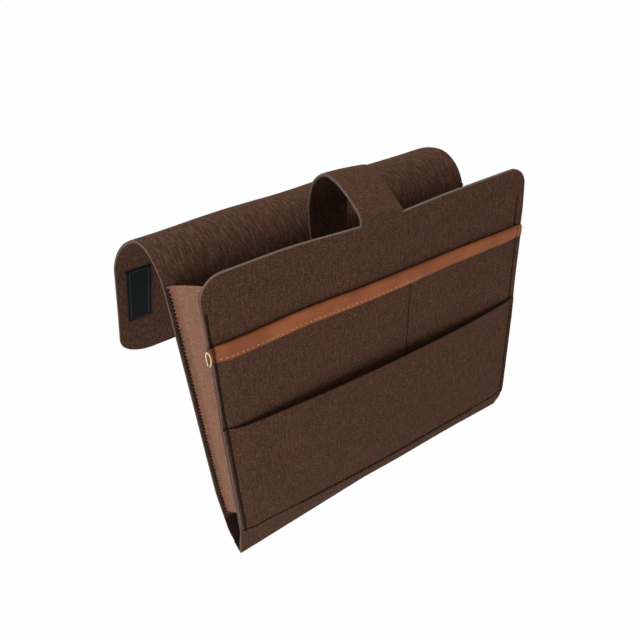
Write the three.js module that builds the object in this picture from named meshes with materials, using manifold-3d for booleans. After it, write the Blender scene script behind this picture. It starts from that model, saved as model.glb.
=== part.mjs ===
// Felt bedside caddy. A back panel arches over the side rail of a bed and carries on as a
// rear flap that tucks under the mattress. A front panel rises from the fold at the bottom,
// with a flat upper pocket, a bowed lower pocket, two side gussets and a closing strap.
//
// Units are millimetres and degrees. X runs across the width, +Y towards the bed, +Z up.
// The origin lies on the rear face of the back panel, on the middle line of the width.
// Headings are measured from +Z towards +Y, and distances on the front panel go down
// from its top edge.

import * as THREE from "three";
import { mergeVertices } from "three/addons/utils/BufferGeometryUtils.js";
import Module from "manifold-3d";

const wasm = await Module();
wasm.setup();

// Sheets and clearances
const caddyWidth = 330;
const feltThickness = 3.2;
const pocketFeltThickness = 2.8;
const gussetThickness = 2.2;
const leatherThickness = 1.1;
const hookThickness = 1.3;
const threadThickness = 0.5;
const threadWidth = 0.8;
const pieceGap = 0.3;
const foldGap = 0.45;
const seamInset = 5;
const cutOverrun = 4;

// Back panel, from the top of the arch down to the bottom fold
const archRadius = 34.7;
const archBaseHeight = 116;
const backStraightLength = 216;
const rearBendRadius = 60;
const rearBendHeading = -162;
const rearRunLength = 32;
const toeBendRadius = 10;
const toeBendHeading = -112;
const toeRunLength = 20;

// Rear flap, from the top of the arch to its free edge
const crownBendRadius = 85;
const crownBendHeading = 109;
const slopeBendRadius = 286;
const slopeBendHeading = 132;
const flapBendRadius = 70;
const flapHeading = 145.6;
const flapStraightLength = 193;
const flapCornerRadius = 45;

// Hook patches on the inner face of the flap
const hookPatchWidth = 28.5;
const hookPatchLength = 103;
const hookPatchSideDistance = 11.5;
const hookPatchBendDistance = 2;

// Front panel, from the bottom fold up
const frontFoldHeading = -24.3;
const frontFoldRun = 44;
const frontBendRadius = 40;
const frontLean = 5.87;
const frontStraightLength = 272;
const frontCornerRadius = 21;

// Pockets on the front panel
const trimTopDistance = 58;
const trimHeight = 14.5;
const trimOverhang = 1.2;
const trimSeamMargin = 2.6;
const lowerPocketTopDistance = 144;
const pocketBottomDistance = 270.5;
const pocketSeamMargin = 3.5;
const lowerPocketBow = 9.5;
const dividerOffset = 28;
const dividerBehindPocket = 44;
const sideSeamTopDistance = 28;

// Side gussets
const gussetInset = 6.5;
const gussetRearMargin = 2.5;
const gussetTopDrop = 10;
const gussetRearRise = 4;
const gussetFrontLift = 7;
const gussetRearRun = 13;

// Closing strap
const strapWidth = 42.5;
const strapOffset = -2.5;
const strapRootRun = 4;
const strapLiftRadius = 7;
const strapLiftHeading = 45;
const strapShoulderRadius = 80;
const strapShoulderHeading = 72;
const strapTopRun = 4.13;
const strapCrownRadius = 20;
const strapCrownHeading = 109;
const strapSlopeRadius = 38;
const strapSlopeHeading = 148;
const strapDropRadius = 75;
const strapTabTopDrop = 11;
const strapShortestDrop = 5;
const strapTabLength = 50;
const strapTabCornerRadius = 9;
const strapPatchMargin = 4;

// Fineness of the curves
const degreesPerStep = 5;
const cornerSteps = 8;
const pocketColumns = 24;
const pocketRows = 10;

const halfFelt = feltThickness / 2;
const halfWidth = caddyWidth / 2;
const headingUp = 0;
const headingBack = 90;
const headingDown = 180;

// Materials
const felt = new THREE.MeshStandardMaterial({ color: 0x4b372a, roughness: 0.96, metalness: 0 });
const gussetFelt = new THREE.MeshStandardMaterial({ color: 0x8c6c5c, roughness: 0.97, metalness: 0 });
const leather = new THREE.MeshStandardMaterial({ color: 0x935434, roughness: 0.55, metalness: 0 });
const hookTape = new THREE.MeshStandardMaterial({ color: 0x111415, roughness: 0.8, metalness: 0 });
const darkThread = new THREE.MeshStandardMaterial({ color: 0x2d160c, roughness: 0.8, metalness: 0 });
const tanThread = new THREE.MeshStandardMaterial({ color: 0xb97855, roughness: 0.7, metalness: 0 });

// Follows a bend line in the YZ plane. A move is a straight run, or a bend of one radius
// to a new heading. Each station holds its place and its heading.
function walk(start, heading, moves) {
  const stations = [{ y: start.y, z: start.z, heading }];
  for (const move of moves) {
    const from = stations[stations.length - 1];
    if (move.run !== undefined) {
      const angle = THREE.MathUtils.degToRad(from.heading);
      stations.push({
        y: from.y + move.run * Math.sin(angle),
        z: from.z + move.run * Math.cos(angle),
        heading: from.heading,
      });
      continue;
    }
    const turn = move.turnTo - from.heading;
    const steps = Math.max(1, Math.ceil(Math.abs(turn) / degreesPerStep));
    const signedRadius = Math.sign(turn) * move.radius;
    const startAngle = THREE.MathUtils.degToRad(from.heading);
    for (let step = 1; step <= steps; step += 1) {
      const stepHeading = from.heading + (turn * step) / steps;
      const angle = THREE.MathUtils.degToRad(stepHeading);
      stations.push({
        y: from.y + signedRadius * (Math.cos(startAngle) - Math.cos(angle)),
        z: from.z + signedRadius * (Math.sin(angle) - Math.sin(startAngle)),
        heading: stepHeading,
      });
    }
  }
  return stations;
}

function lastOf(stations) {
  return stations[stations.length - 1];
}

// The point beside a station, positive to the left of the way it heads.
function beside(station, distance) {
  const angle = THREE.MathUtils.degToRad(station.heading);
  return new THREE.Vector2(
    station.y - distance * Math.cos(angle),
    station.z + distance * Math.sin(angle),
  );
}

// The section of a sheet that follows the stations between two side distances.
function stripPoints(stations, innerSide, outerSide) {
  const outer = stations.map((station) => beside(station, outerSide));
  const inner = stations.map((station) => beside(station, innerSide));
  return [...outer, ...inner.reverse()];
}

// The half-round end of a sheet that hinges on its first station.
function roundStartPoints(stations, radius) {
  const start = stations[0];
  const angle = THREE.MathUtils.degToRad(start.heading);
  const points = [];
  for (let step = 1; step < cornerSteps; step += 1) {
    const sweep = (Math.PI * step) / cornerSteps;
    const sideways = -radius * Math.cos(sweep);
    const backwards = -radius * Math.sin(sweep);
    points.push(
      new THREE.Vector2(
        start.y - sideways * Math.cos(angle) + backwards * Math.sin(angle),
        start.z + sideways * Math.sin(angle) + backwards * Math.cos(angle),
      ),
    );
  }
  return points;
}

// A section in the YZ plane, carried along X.
const alongWidth = new THREE.Matrix4().makeBasis(
  new THREE.Vector3(0, 1, 0),
  new THREE.Vector3(0, 0, 1),
  new THREE.Vector3(1, 0, 0),
);

function extrudeAcross(points, fromX, toX) {
  const geometry = new THREE.ExtrudeGeometry(new THREE.Shape(points), {
    depth: toX - fromX,
    bevelEnabled: false,
  });
  geometry.applyMatrix4(alongWidth);
  geometry.translate(fromX, 0, 0);
  return geometry;
}

// An outline in the XZ plane, carried along -Y from the face at faceY.
function extrudeOutward(points, faceY, thickness) {
  const geometry = new THREE.ExtrudeGeometry(new THREE.Shape(points), {
    depth: thickness,
    bevelEnabled: false,
  });
  geometry.rotateX(Math.PI / 2);
  geometry.translate(0, faceY, 0);
  return geometry;
}

function rectanglePoints(fromX, toX, fromZ, toZ) {
  return [
    new THREE.Vector2(fromX, fromZ),
    new THREE.Vector2(toX, fromZ),
    new THREE.Vector2(toX, toZ),
    new THREE.Vector2(fromX, toZ),
  ];
}

function solidOf(geometry) {
  const bare = geometry.clone();
  bare.deleteAttribute("normal");
  bare.deleteAttribute("uv");
  const merged = mergeVertices(bare);
  return new wasm.Manifold(
    new wasm.Mesh({
      numProp: 3,
      vertProperties: new Float32Array(merged.attributes.position.array),
      triVerts: new Uint32Array(merged.index.array),
    }),
  );
}

function geometryOf(solid) {
  const mesh = solid.getMesh();
  const geometry = new THREE.BufferGeometry();
  geometry.setAttribute("position", new THREE.BufferAttribute(mesh.vertProperties, 3));
  geometry.setIndex(new THREE.BufferAttribute(mesh.triVerts, 1));
  const faceted = geometry.toNonIndexed();
  faceted.computeVertexNormals();
  return faceted;
}

// The waste outside one rounded corner, at the end of a sheet that ends at a station.
function cornerWaste(station, centreX, halfSpan, radius, side) {
  const arcCentreX = halfSpan - radius;
  const points = [];
  for (let step = 0; step <= cornerSteps; step += 1) {
    const sweep = (Math.PI / 2) * (step / cornerSteps);
    const arcX = arcCentreX + radius * Math.cos(sweep);
    const arcZ = radius * Math.sin(sweep) - radius;
    points.push(new THREE.Vector2(centreX + side * arcX, arcZ));
  }
  points.push(new THREE.Vector2(centreX + side * arcCentreX, cutOverrun));
  points.push(new THREE.Vector2(centreX + side * (halfSpan + cutOverrun), cutOverrun));
  points.push(new THREE.Vector2(centreX + side * (halfSpan + cutOverrun), -radius));
  const depth = feltThickness + cutOverrun;
  const geometry = extrudeOutward(points, depth / 2, depth);
  geometry.rotateX(-THREE.MathUtils.degToRad(station.heading));
  geometry.translate(0, station.y, station.z);
  return solidOf(geometry);
}

function roundedEnd(geometry, station, centreX, halfSpan, radius) {
  const leftWaste = cornerWaste(station, centreX, halfSpan, radius, -1);
  const rightWaste = cornerWaste(station, centreX, halfSpan, radius, 1);
  return geometryOf(solidOf(geometry).subtract(leftWaste).subtract(rightWaste));
}

function addMesh(group, name, geometry, material) {
  const mesh = new THREE.Mesh(geometry, material);
  mesh.name = name;
  group.add(mesh);
  return mesh;
}

// Bend lines, each along the middle of its sheet
const crown = { y: archRadius - halfFelt, z: archBaseHeight + archRadius };
const crownEndAngle = THREE.MathUtils.radToDeg((halfFelt + pieceGap) / archRadius);
const archStart = lastOf(
  walk(crown, -headingBack, [{ radius: archRadius, turnTo: -headingBack - crownEndAngle }]),
);
const archBase = { y: -halfFelt, z: archBaseHeight };
const backMoves = [
  { run: backStraightLength },
  { radius: rearBendRadius, turnTo: rearBendHeading },
  { run: rearRunLength },
  { radius: toeBendRadius, turnTo: toeBendHeading },
];
const backArch = walk(archStart, archStart.heading, [
  { radius: archRadius, turnTo: -headingDown },
]);
const backDrop = walk(archBase, -headingDown, [
  ...backMoves,
  { run: toeRunLength - halfFelt - foldGap },
]);
const backLine = [...backArch, ...backDrop.slice(1)];
const foldLine = lastOf(walk(archBase, -headingDown, [...backMoves, { run: toeRunLength }]));

const flapMoves = [
  { radius: crownBendRadius, turnTo: crownBendHeading },
  { radius: slopeBendRadius, turnTo: slopeBendHeading },
  { radius: flapBendRadius, turnTo: flapHeading },
];
const hingeOrigin = { y: 0, z: 0 };
const flapBase = lastOf(walk(hingeOrigin, headingBack, flapMoves));
const flapLine = walk(hingeOrigin, headingBack, [...flapMoves, { run: flapStraightLength }]);

const frontMoves = [
  { run: frontFoldRun },
  { radius: frontBendRadius, turnTo: -frontLean },
];
const frontLine = walk(hingeOrigin, frontFoldHeading, [
  ...frontMoves,
  { run: frontStraightLength },
]);
const frontTop = lastOf(frontLine);
const leanAngle = THREE.MathUtils.degToRad(frontLean);

// A point on the middle of the front panel, a distance down from its top edge.
function onFrontPanel(distance) {
  return new THREE.Vector2(
    foldLine.y + frontTop.y + distance * Math.sin(leanAngle),
    foldLine.z + frontTop.z - distance * Math.cos(leanAngle),
  );
}

const caddy = new THREE.Group();

// Back panel with the front half of the arch and the rear half of the bottom fold
addMesh(
  caddy,
  "back_panel",
  extrudeAcross(stripPoints(backLine, -halfFelt, halfFelt), -halfWidth, halfWidth),
  felt,
);

// Rear flap, hinged along the top of the arch
const flapGroup = new THREE.Group();
flapGroup.position.set(0, crown.y, crown.z);
caddy.add(flapGroup);
const flapSection = [
  ...stripPoints(flapLine, -halfFelt, halfFelt),
  ...roundStartPoints(flapLine, halfFelt),
];
addMesh(
  flapGroup,
  "rear_flap",
  roundedEnd(
    extrudeAcross(flapSection, -halfWidth, halfWidth),
    lastOf(flapLine),
    0,
    halfWidth,
    flapCornerRadius,
  ),
  felt,
);

// Hook patches lie flat on the inner face of the straight part of the flap
const flapFaceGroup = new THREE.Group();
flapFaceGroup.position.set(0, flapBase.y, flapBase.z);
flapFaceGroup.rotation.x = -THREE.MathUtils.degToRad(flapHeading);
flapGroup.add(flapFaceGroup);
const hookOuterX = halfWidth - hookPatchSideDistance;
const hookPoints = rectanglePoints(
  -hookOuterX,
  -hookOuterX + hookPatchWidth,
  hookPatchBendDistance,
  hookPatchBendDistance + hookPatchLength,
);
const hookFaceY = halfFelt + pieceGap + hookThickness;
const hookGeometry = extrudeOutward(hookPoints, hookFaceY, hookThickness);
addMesh(flapFaceGroup, "left_hook_patch", hookGeometry, hookTape);
const rightHookPatch = addMesh(flapFaceGroup, "right_hook_patch", hookGeometry, hookTape);
rightHookPatch.scale.x = -1;

// Gussets: a web between the two panels, with a flange turned out on each. The rear flange
// ends short of the panel's edge, and the front flange reaches it.
const gussetRearBottom = walk(archBase, -headingDown, [
  ...backMoves.slice(0, 2),
  { run: gussetRearRun },
]);
const gussetRearLine = [
  { y: archBase.y, z: archBaseHeight + gussetRearRise, heading: -headingDown },
  ...gussetRearBottom.slice(1),
];
const gussetFrontTop = onFrontPanel(gussetTopDrop);
const gussetFrontBottom = onFrontPanel(frontStraightLength - gussetFrontLift);
const gussetFrontLine = [
  { y: gussetFrontTop.x, z: gussetFrontTop.y, heading: headingDown - frontLean },
  { y: gussetFrontBottom.x, z: gussetFrontBottom.y, heading: headingDown - frontLean },
];
const gussetOutline = [
  ...gussetRearLine.map((station) => new THREE.Vector2(station.y, station.z)),
  gussetFrontBottom,
  gussetFrontTop,
];
const frontPanelLine = frontLine.map((station) => ({
  y: station.y + foldLine.y,
  z: station.z + foldLine.z,
  heading: station.heading,
}));
const panelClearance = halfFelt + pieceGap;
const flangeDepth = panelClearance + gussetThickness;

function solidAcross(points, fromX, toX) {
  return solidOf(extrudeAcross(points, fromX, toX));
}

function gussetSolid() {
  const webX = -halfWidth + gussetInset;
  const webEndX = webX + gussetThickness;
  const clearOfBack = stripPoints(backLine, -panelClearance, panelClearance);
  const clearOfFront = stripPoints(frontPanelLine, -panelClearance, panelClearance);
  const reachX = halfWidth + cutOverrun;
  const web = solidAcross(gussetOutline, webX, webEndX)
    .subtract(solidAcross(clearOfBack, -reachX, 0))
    .subtract(solidAcross(clearOfFront, -reachX, 0));
  const rearFlange = solidAcross(
    stripPoints(gussetRearLine, -flangeDepth, -panelClearance),
    -halfWidth + gussetRearMargin,
    webEndX,
  );
  const frontFlange = solidAcross(
    stripPoints(gussetFrontLine, panelClearance, flangeDepth),
    -halfWidth,
    webEndX,
  );
  const trimmed = solidAcross(gussetOutline, -halfWidth, webEndX);
  return web.add(rearFlange).add(frontFlange).intersect(trimmed);
}

const gussetGeometry = geometryOf(gussetSolid());
addMesh(caddy, "left_gusset", gussetGeometry, gussetFelt);
const rightGusset = addMesh(caddy, "right_gusset", gussetGeometry, gussetFelt);
rightGusset.scale.x = -1;

// Front panel, hinged along the bottom fold
const frontGroup = new THREE.Group();
frontGroup.position.set(0, foldLine.y, foldLine.z);
caddy.add(frontGroup);
const frontSection = [
  ...stripPoints(frontLine, -halfFelt, halfFelt),
  ...roundStartPoints(frontLine, halfFelt),
];
addMesh(
  frontGroup,
  "front_panel",
  roundedEnd(
    extrudeAcross(frontSection, -halfWidth, halfWidth),
    frontTop,
    0,
    halfWidth,
    frontCornerRadius,
  ),
  felt,
);

// Pieces on the flat of the front panel: Z is zero at its top edge, -Y points outwards
const panelGroup = new THREE.Group();
panelGroup.position.set(0, frontTop.y, frontTop.z);
panelGroup.rotation.x = leanAngle;
frontGroup.add(panelGroup);

const trimInnerY = -(halfFelt + pieceGap + leatherThickness / 2);
const trimBendRadius = pocketFeltThickness / 2 + pieceGap + leatherThickness / 2;
const trimShoulderZ = -(trimTopDistance + leatherThickness / 2 + trimBendRadius);
const trimBottomZ = -(trimTopDistance + trimHeight);
const upperPocketInnerY = -(halfFelt + pieceGap + leatherThickness + pieceGap);
const upperPocketOuterY = upperPocketInnerY - pocketFeltThickness;
const trimOuterY = upperPocketOuterY - pieceGap - leatherThickness;
const lowerPocketInnerY = upperPocketOuterY - pieceGap;
const lowerPocketOuterY = lowerPocketInnerY - pocketFeltThickness;
const pocketBottomZ = -pocketBottomDistance;
const pocketSeamZ = pocketBottomZ + pocketSeamMargin;
const lowerPocketTopZ = -lowerPocketTopDistance;
const seamX = halfWidth - seamInset;

addMesh(
  panelGroup,
  "upper_pocket",
  extrudeOutward(
    rectanglePoints(-halfWidth, halfWidth, pocketBottomZ, trimShoulderZ),
    upperPocketInnerY,
    pocketFeltThickness,
  ),
  felt,
);

// Leather trim folded over the mouth of the upper pocket
const trimLegLength = trimShoulderZ - trimBottomZ;
const trimLine = walk({ y: trimInnerY, z: trimBottomZ }, headingUp, [
  { run: trimLegLength },
  { radius: trimBendRadius, turnTo: -headingDown },
  { run: trimLegLength },
]);
const trimHalfWidth = halfWidth + trimOverhang;
addMesh(
  panelGroup,
  "leather_trim",
  extrudeAcross(
    stripPoints(trimLine, -leatherThickness / 2, leatherThickness / 2),
    -trimHalfWidth,
    trimHalfWidth,
  ),
  leather,
);

// Lower pocket, bowed outwards between its seams and most at its mouth
function pocketBow(x, z) {
  const acrossShare = Math.min(1, Math.abs(x) / seamX);
  const downShare = Math.min(1, (lowerPocketTopZ - z) / (lowerPocketTopZ - pocketSeamZ));
  return lowerPocketBow * (1 - acrossShare ** 2) * (1 - downShare ** 2);
}

function lowerPocketGeometry() {
  const xs = [-halfWidth];
  for (let column = 0; column <= pocketColumns; column += 1) {
    xs.push(-seamX + (2 * seamX * column) / pocketColumns);
  }
  xs.push(halfWidth);
  const zs = [];
  for (let row = 0; row <= pocketRows; row += 1) {
    zs.push(lowerPocketTopZ + ((pocketSeamZ - lowerPocketTopZ) * row) / pocketRows);
  }
  zs.push(pocketBottomZ);
  const positions = [];
  for (const faceY of [lowerPocketOuterY, lowerPocketInnerY]) {
    for (const z of zs) {
      for (const x of xs) {
        positions.push(x, faceY - pocketBow(x, z), z);
      }
    }
  }
  const columns = xs.length;
  const rows = zs.length;
  const innerStart = columns * rows;
  const at = (column, row, face) => face * innerStart + row * columns + column;
  const indices = [];
  const quad = (a, b, c, d) => indices.push(a, b, c, a, c, d);
  for (let row = 0; row + 1 < rows; row += 1) {
    for (let column = 0; column + 1 < columns; column += 1) {
      const next = column + 1;
      const below = row + 1;
      quad(at(column, row, 0), at(column, below, 0), at(next, below, 0), at(next, row, 0));
      quad(at(column, row, 1), at(next, row, 1), at(next, below, 1), at(column, below, 1));
    }
    const below = row + 1;
    const last = columns - 1;
    quad(at(0, row, 1), at(0, below, 1), at(0, below, 0), at(0, row, 0));
    quad(at(last, row, 0), at(last, below, 0), at(last, below, 1), at(last, row, 1));
  }
  for (let column = 0; column + 1 < columns; column += 1) {
    const next = column + 1;
    const last = rows - 1;
    quad(at(column, 0, 1), at(column, 0, 0), at(next, 0, 0), at(next, 0, 1));
    quad(at(column, last, 0), at(column, last, 1), at(next, last, 1), at(next, last, 0));
  }
  const geometry = new THREE.BufferGeometry();
  geometry.setAttribute("position", new THREE.Float32BufferAttribute(positions, 3));
  geometry.setIndex(indices);
  geometry.computeVertexNormals();
  return geometry;
}

addMesh(panelGroup, "lower_pocket", lowerPocketGeometry(), felt);

// A line of stitching that steps from sheet to sheet. Each level has the place of its
// sheet's outer face and the Z at which the line leaves that sheet.
function steppedSeamPoints(startZ, levels) {
  const outer = [];
  const inner = [];
  let z = startZ;
  levels.forEach((level, index) => {
    const innerY = level.faceY - pieceGap;
    const outerY = innerY - threadThickness;
    const before = levels[index - 1];
    const after = levels[index + 1];
    const stepsOutBefore = before !== undefined && before.faceY > level.faceY;
    const stepsOutAfter = after !== undefined && after.faceY < level.faceY;
    const startRise = before === undefined ? 0 : pieceGap;
    const endRise = after === undefined ? 0 : pieceGap;
    const startShift = stepsOutBefore ? startRise : -startRise;
    const endShift = stepsOutAfter ? endRise : -endRise;
    const startThread = before === undefined ? 0 : Math.sign(startShift) * threadThickness;
    const endThread = after === undefined ? 0 : Math.sign(endShift) * threadThickness;
    inner.push(new THREE.Vector2(innerY, z + startShift));
    inner.push(new THREE.Vector2(innerY, level.untilZ + endShift));
    outer.push(new THREE.Vector2(outerY, z + startShift + startThread));
    outer.push(new THREE.Vector2(outerY, level.untilZ + endShift + endThread));
    z = level.untilZ;
  });
  return [...outer, ...inner.reverse()];
}

const trimTopZ = -trimTopDistance;
const sideSeamPoints = steppedSeamPoints(-sideSeamTopDistance, [
  { faceY: -halfFelt, untilZ: trimTopZ },
  { faceY: trimOuterY, untilZ: trimBottomZ },
  { faceY: upperPocketOuterY, untilZ: lowerPocketTopZ },
  { faceY: lowerPocketOuterY, untilZ: pocketSeamZ },
]);
const sideSeamGeometry = extrudeAcross(
  sideSeamPoints,
  -seamX - threadWidth / 2,
  -seamX + threadWidth / 2,
);
addMesh(panelGroup, "left_front_seam", sideSeamGeometry, darkThread);
const rightFrontSeam = addMesh(panelGroup, "right_front_seam", sideSeamGeometry, darkThread);
rightFrontSeam.scale.x = -1;

const crossSeamHalf = seamX - threadWidth / 2 - pieceGap;
addMesh(
  panelGroup,
  "lower_pocket_seam",
  extrudeOutward(
    rectanglePoints(-crossSeamHalf, crossSeamHalf, pocketSeamZ, pocketSeamZ + threadWidth),
    lowerPocketOuterY - pieceGap - pocketBow(0, pocketSeamZ + threadWidth),
    threadThickness,
  ),
  darkThread,
);

const trimSeamZ = trimBottomZ + trimSeamMargin;
addMesh(
  panelGroup,
  "trim_seam",
  extrudeOutward(
    rectanglePoints(-crossSeamHalf, crossSeamHalf, trimSeamZ, trimSeamZ + threadWidth),
    trimOuterY - pieceGap,
    threadThickness,
  ),
  tanThread,
);

// The seam that divides the upper pocket in two
addMesh(
  panelGroup,
  "divider_seam",
  extrudeOutward(
    rectanglePoints(
      dividerOffset - threadWidth / 2,
      dividerOffset + threadWidth / 2,
      lowerPocketTopZ - dividerBehindPocket,
      trimBottomZ - pieceGap,
    ),
    upperPocketOuterY - pieceGap,
    threadThickness,
  ),
  darkThread,
);

// Closing strap, from the top edge of the front panel over and down inside the pocket. Its
// curve keeps its form and is scaled to reach from the front panel to the tab.
const tabMiddleY = -(feltThickness + pieceGap + hookThickness + pieceGap + halfFelt);
const strapStart = onFrontPanel(-pieceGap);
const strapRoot = { y: strapStart.x, z: strapStart.y };
const strapCurve = (scale) => walk(strapRoot, -frontLean, [
  { run: scale * strapRootRun },
  { radius: scale * strapLiftRadius, turnTo: strapLiftHeading },
  { radius: scale * strapShoulderRadius, turnTo: strapShoulderHeading },
  { run: scale * strapTopRun },
  { radius: scale * strapCrownRadius, turnTo: strapCrownHeading },
  { radius: scale * strapSlopeRadius, turnTo: strapSlopeHeading },
  { radius: scale * strapDropRadius, turnTo: headingDown },
]);
const unscaledReach = lastOf(strapCurve(1)).y - strapRoot.y;
const strapOver = strapCurve((tabMiddleY - strapRoot.y) / unscaledReach);
// The tab hangs below the arch and below the end of the strap, whichever is lower
const tabTopHeight = Math.min(
  archBaseHeight - strapTabTopDrop,
  lastOf(strapOver).z - strapShortestDrop - halfFelt - pieceGap,
);
const strapDropLength = lastOf(strapOver).z - tabTopHeight - halfFelt - pieceGap;
const strapLine = [...strapOver, ...walk(lastOf(strapOver), headingDown, [
  { run: strapDropLength },
]).slice(1)];
const strapFromX = strapOffset - strapWidth / 2;
const strapToX = strapOffset + strapWidth / 2;
addMesh(
  caddy,
  "closure_strap",
  extrudeAcross(stripPoints(strapLine, -halfFelt, halfFelt), strapFromX, strapToX),
  felt,
);

// The end of the strap peels off the back panel about its upper end
const tabGroup = new THREE.Group();
tabGroup.position.set(0, tabMiddleY, tabTopHeight);
caddy.add(tabGroup);
const tabLine = walk(hingeOrigin, headingDown, [{ run: strapTabLength }]);
const tabSection = [
  ...stripPoints(tabLine, -halfFelt, halfFelt),
  ...roundStartPoints(tabLine, halfFelt),
];
addMesh(
  tabGroup,
  "strap_tab",
  roundedEnd(
    extrudeAcross(tabSection, strapFromX, strapToX),
    lastOf(tabLine),
    strapOffset,
    strapWidth / 2,
    strapTabCornerRadius,
  ),
  felt,
);
addMesh(
  tabGroup,
  "strap_hook_patch",
  extrudeOutward(
    rectanglePoints(
      strapFromX + strapPatchMargin,
      strapToX - strapPatchMargin,
      strapPatchMargin - strapTabLength,
      -strapPatchMargin,
    ),
    halfFelt + pieceGap + hookThickness,
    hookThickness,
  ),
  hookTape,
);

export default caddy;
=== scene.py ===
"""Felt bedside caddy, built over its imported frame.

Lengths in this file are millimetres and angles are degrees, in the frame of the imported
model: X across the width, +Y towards the bed, +Z up. Meshes are turned into metres where
they are made, and the frame's calls, the lamps and the camera are given in metres. Places on
the front panel are given by the distance down from its top edge.
"""

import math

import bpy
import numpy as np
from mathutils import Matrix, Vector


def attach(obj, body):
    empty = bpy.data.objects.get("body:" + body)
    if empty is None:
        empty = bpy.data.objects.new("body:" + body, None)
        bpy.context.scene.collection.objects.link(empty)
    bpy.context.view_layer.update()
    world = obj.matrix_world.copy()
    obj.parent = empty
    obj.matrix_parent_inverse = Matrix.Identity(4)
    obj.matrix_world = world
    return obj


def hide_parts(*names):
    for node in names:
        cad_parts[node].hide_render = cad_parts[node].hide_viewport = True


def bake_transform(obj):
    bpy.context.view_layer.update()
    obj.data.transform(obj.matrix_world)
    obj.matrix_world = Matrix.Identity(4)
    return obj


bl_info = {
    "name": "Felt Bedside Caddy",
    "version": (1, 0, 0),
    "blender": (4, 5, 0),
    "location": "3D View > Sidebar > Caddy",
    "description": "Builds the sewn felt, leather and thread of a bedside caddy",
    "category": "Object",
}

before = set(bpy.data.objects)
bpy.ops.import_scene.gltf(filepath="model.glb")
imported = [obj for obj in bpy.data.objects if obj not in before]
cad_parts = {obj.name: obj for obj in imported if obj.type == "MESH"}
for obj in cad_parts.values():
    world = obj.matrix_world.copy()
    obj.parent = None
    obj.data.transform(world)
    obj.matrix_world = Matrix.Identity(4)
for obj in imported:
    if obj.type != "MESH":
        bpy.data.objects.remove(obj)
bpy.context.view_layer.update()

MM = 0.001

# Thickness of the sheets, and the clear space between two that lie on each other
FELT = 3.2
POCKET_FELT = 2.8
GUSSET_FELT = 2.2
LEATHER = 1.1
HOOK_TAPE = 1.3
LAYER_GAP = 0.3

# The caddy's width, and where its side seams are
HALF_WIDTH = 165.0
WIDTH = 2 * HALF_WIDTH
SEAM_LEFT = -162.0
SEAM_RIGHT = 157.5

# Front panel, with distances down from its top edge
FRONT_LEAN = 5.87
FRONT_STRAIGHT = 272.0
FRONT_CORNER = 21.0
TRIM_TOP = 58.0
TRIM_BOTTOM = 72.5
LOWER_POCKET_TOP = 144.0
POCKET_BOTTOM = 270.5
POCKET_SEAM = 267.0
DIVIDER_X = 27.5
DIVIDER_FOOT = 187.0
SEAM_START = 28.0

# The pockets and the leather are cut a little short of the panel's right edge.
UPPER_POCKET_END = 162.9
LOWER_POCKET_END = 161.4
TRIM_LEFT_END = -168.0
TRIM_RIGHT_END = 162.4

# Middle surfaces of the layers, out from the middle of the front panel
UPPER_POCKET_OUT = 4.7
LOWER_POCKET_OUT = 7.8
TRIM_INNER_OUT = 2.45
TRIM_OUTER_OUT = 6.95

# Length of the leather round the section of the trim
TRIM_AROUND = 31.0

# Share of its height that a layer loses where the left and the right seam press it
PRESSED_LEFT = 0.38
PRESSED_RIGHT = 0.2

# How far from a seam the felt is packed hard and drawn with painted shade
SEAM_SHADE_REACH = 1.1

# Y and Z of the felt's middle at the top of the arch, and the flap's straight part and the
# radius of its corners
CROWN = (33.1, 150.7)
FLAP_STRAIGHT = 193.0
FLAP_CORNER = 45.0

# The bottom fold: the headings under the panel and above the crease, and lengths of felt from
# the straight front to the crease and on to the end of the front sheet
UNDER_LEAN = 112.0
LOWER_LEAN = 24.3
LOWER_BEND = 12.87
CREASE_RUN = 42.0
BEHIND_CREASE = 13.2

# Strap, and the Y and Z of the top of its tab
STRAP_MIDDLE = -2.5
STRAP_HALF = 20.7
TAB_TOP = (-6.7, 105.0)
TAB_LENGTH = 50.0

# A gusset's rear edge, as lengths of felt from the top of the arch, its front edge, as
# distances down the front panel, and how far its middle is off the middle of a panel
GUSSET_REAR = (48.0, 302.3)
GUSSET_FRONT = (10.0, 262.5)
GUSSET_OFF = FELT / 2 + LAYER_GAP + GUSSET_FELT / 2

# Hook patches of the flap, and how far the middle of the tape is off the middle of the felt
HOOK_PATCH_HALF = 14.25
HOOK_PATCH_LENGTH = 103.0
HOOK_OFF = FELT / 2 + LAYER_GAP + HOOK_TAPE / 2

# Lines of a sheet's mesh, in from a cut edge
EDGE_STEPS = (0.0, 0.35, 0.9, 2.0)


# ---------------------------------------------------------------- bend lines


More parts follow.
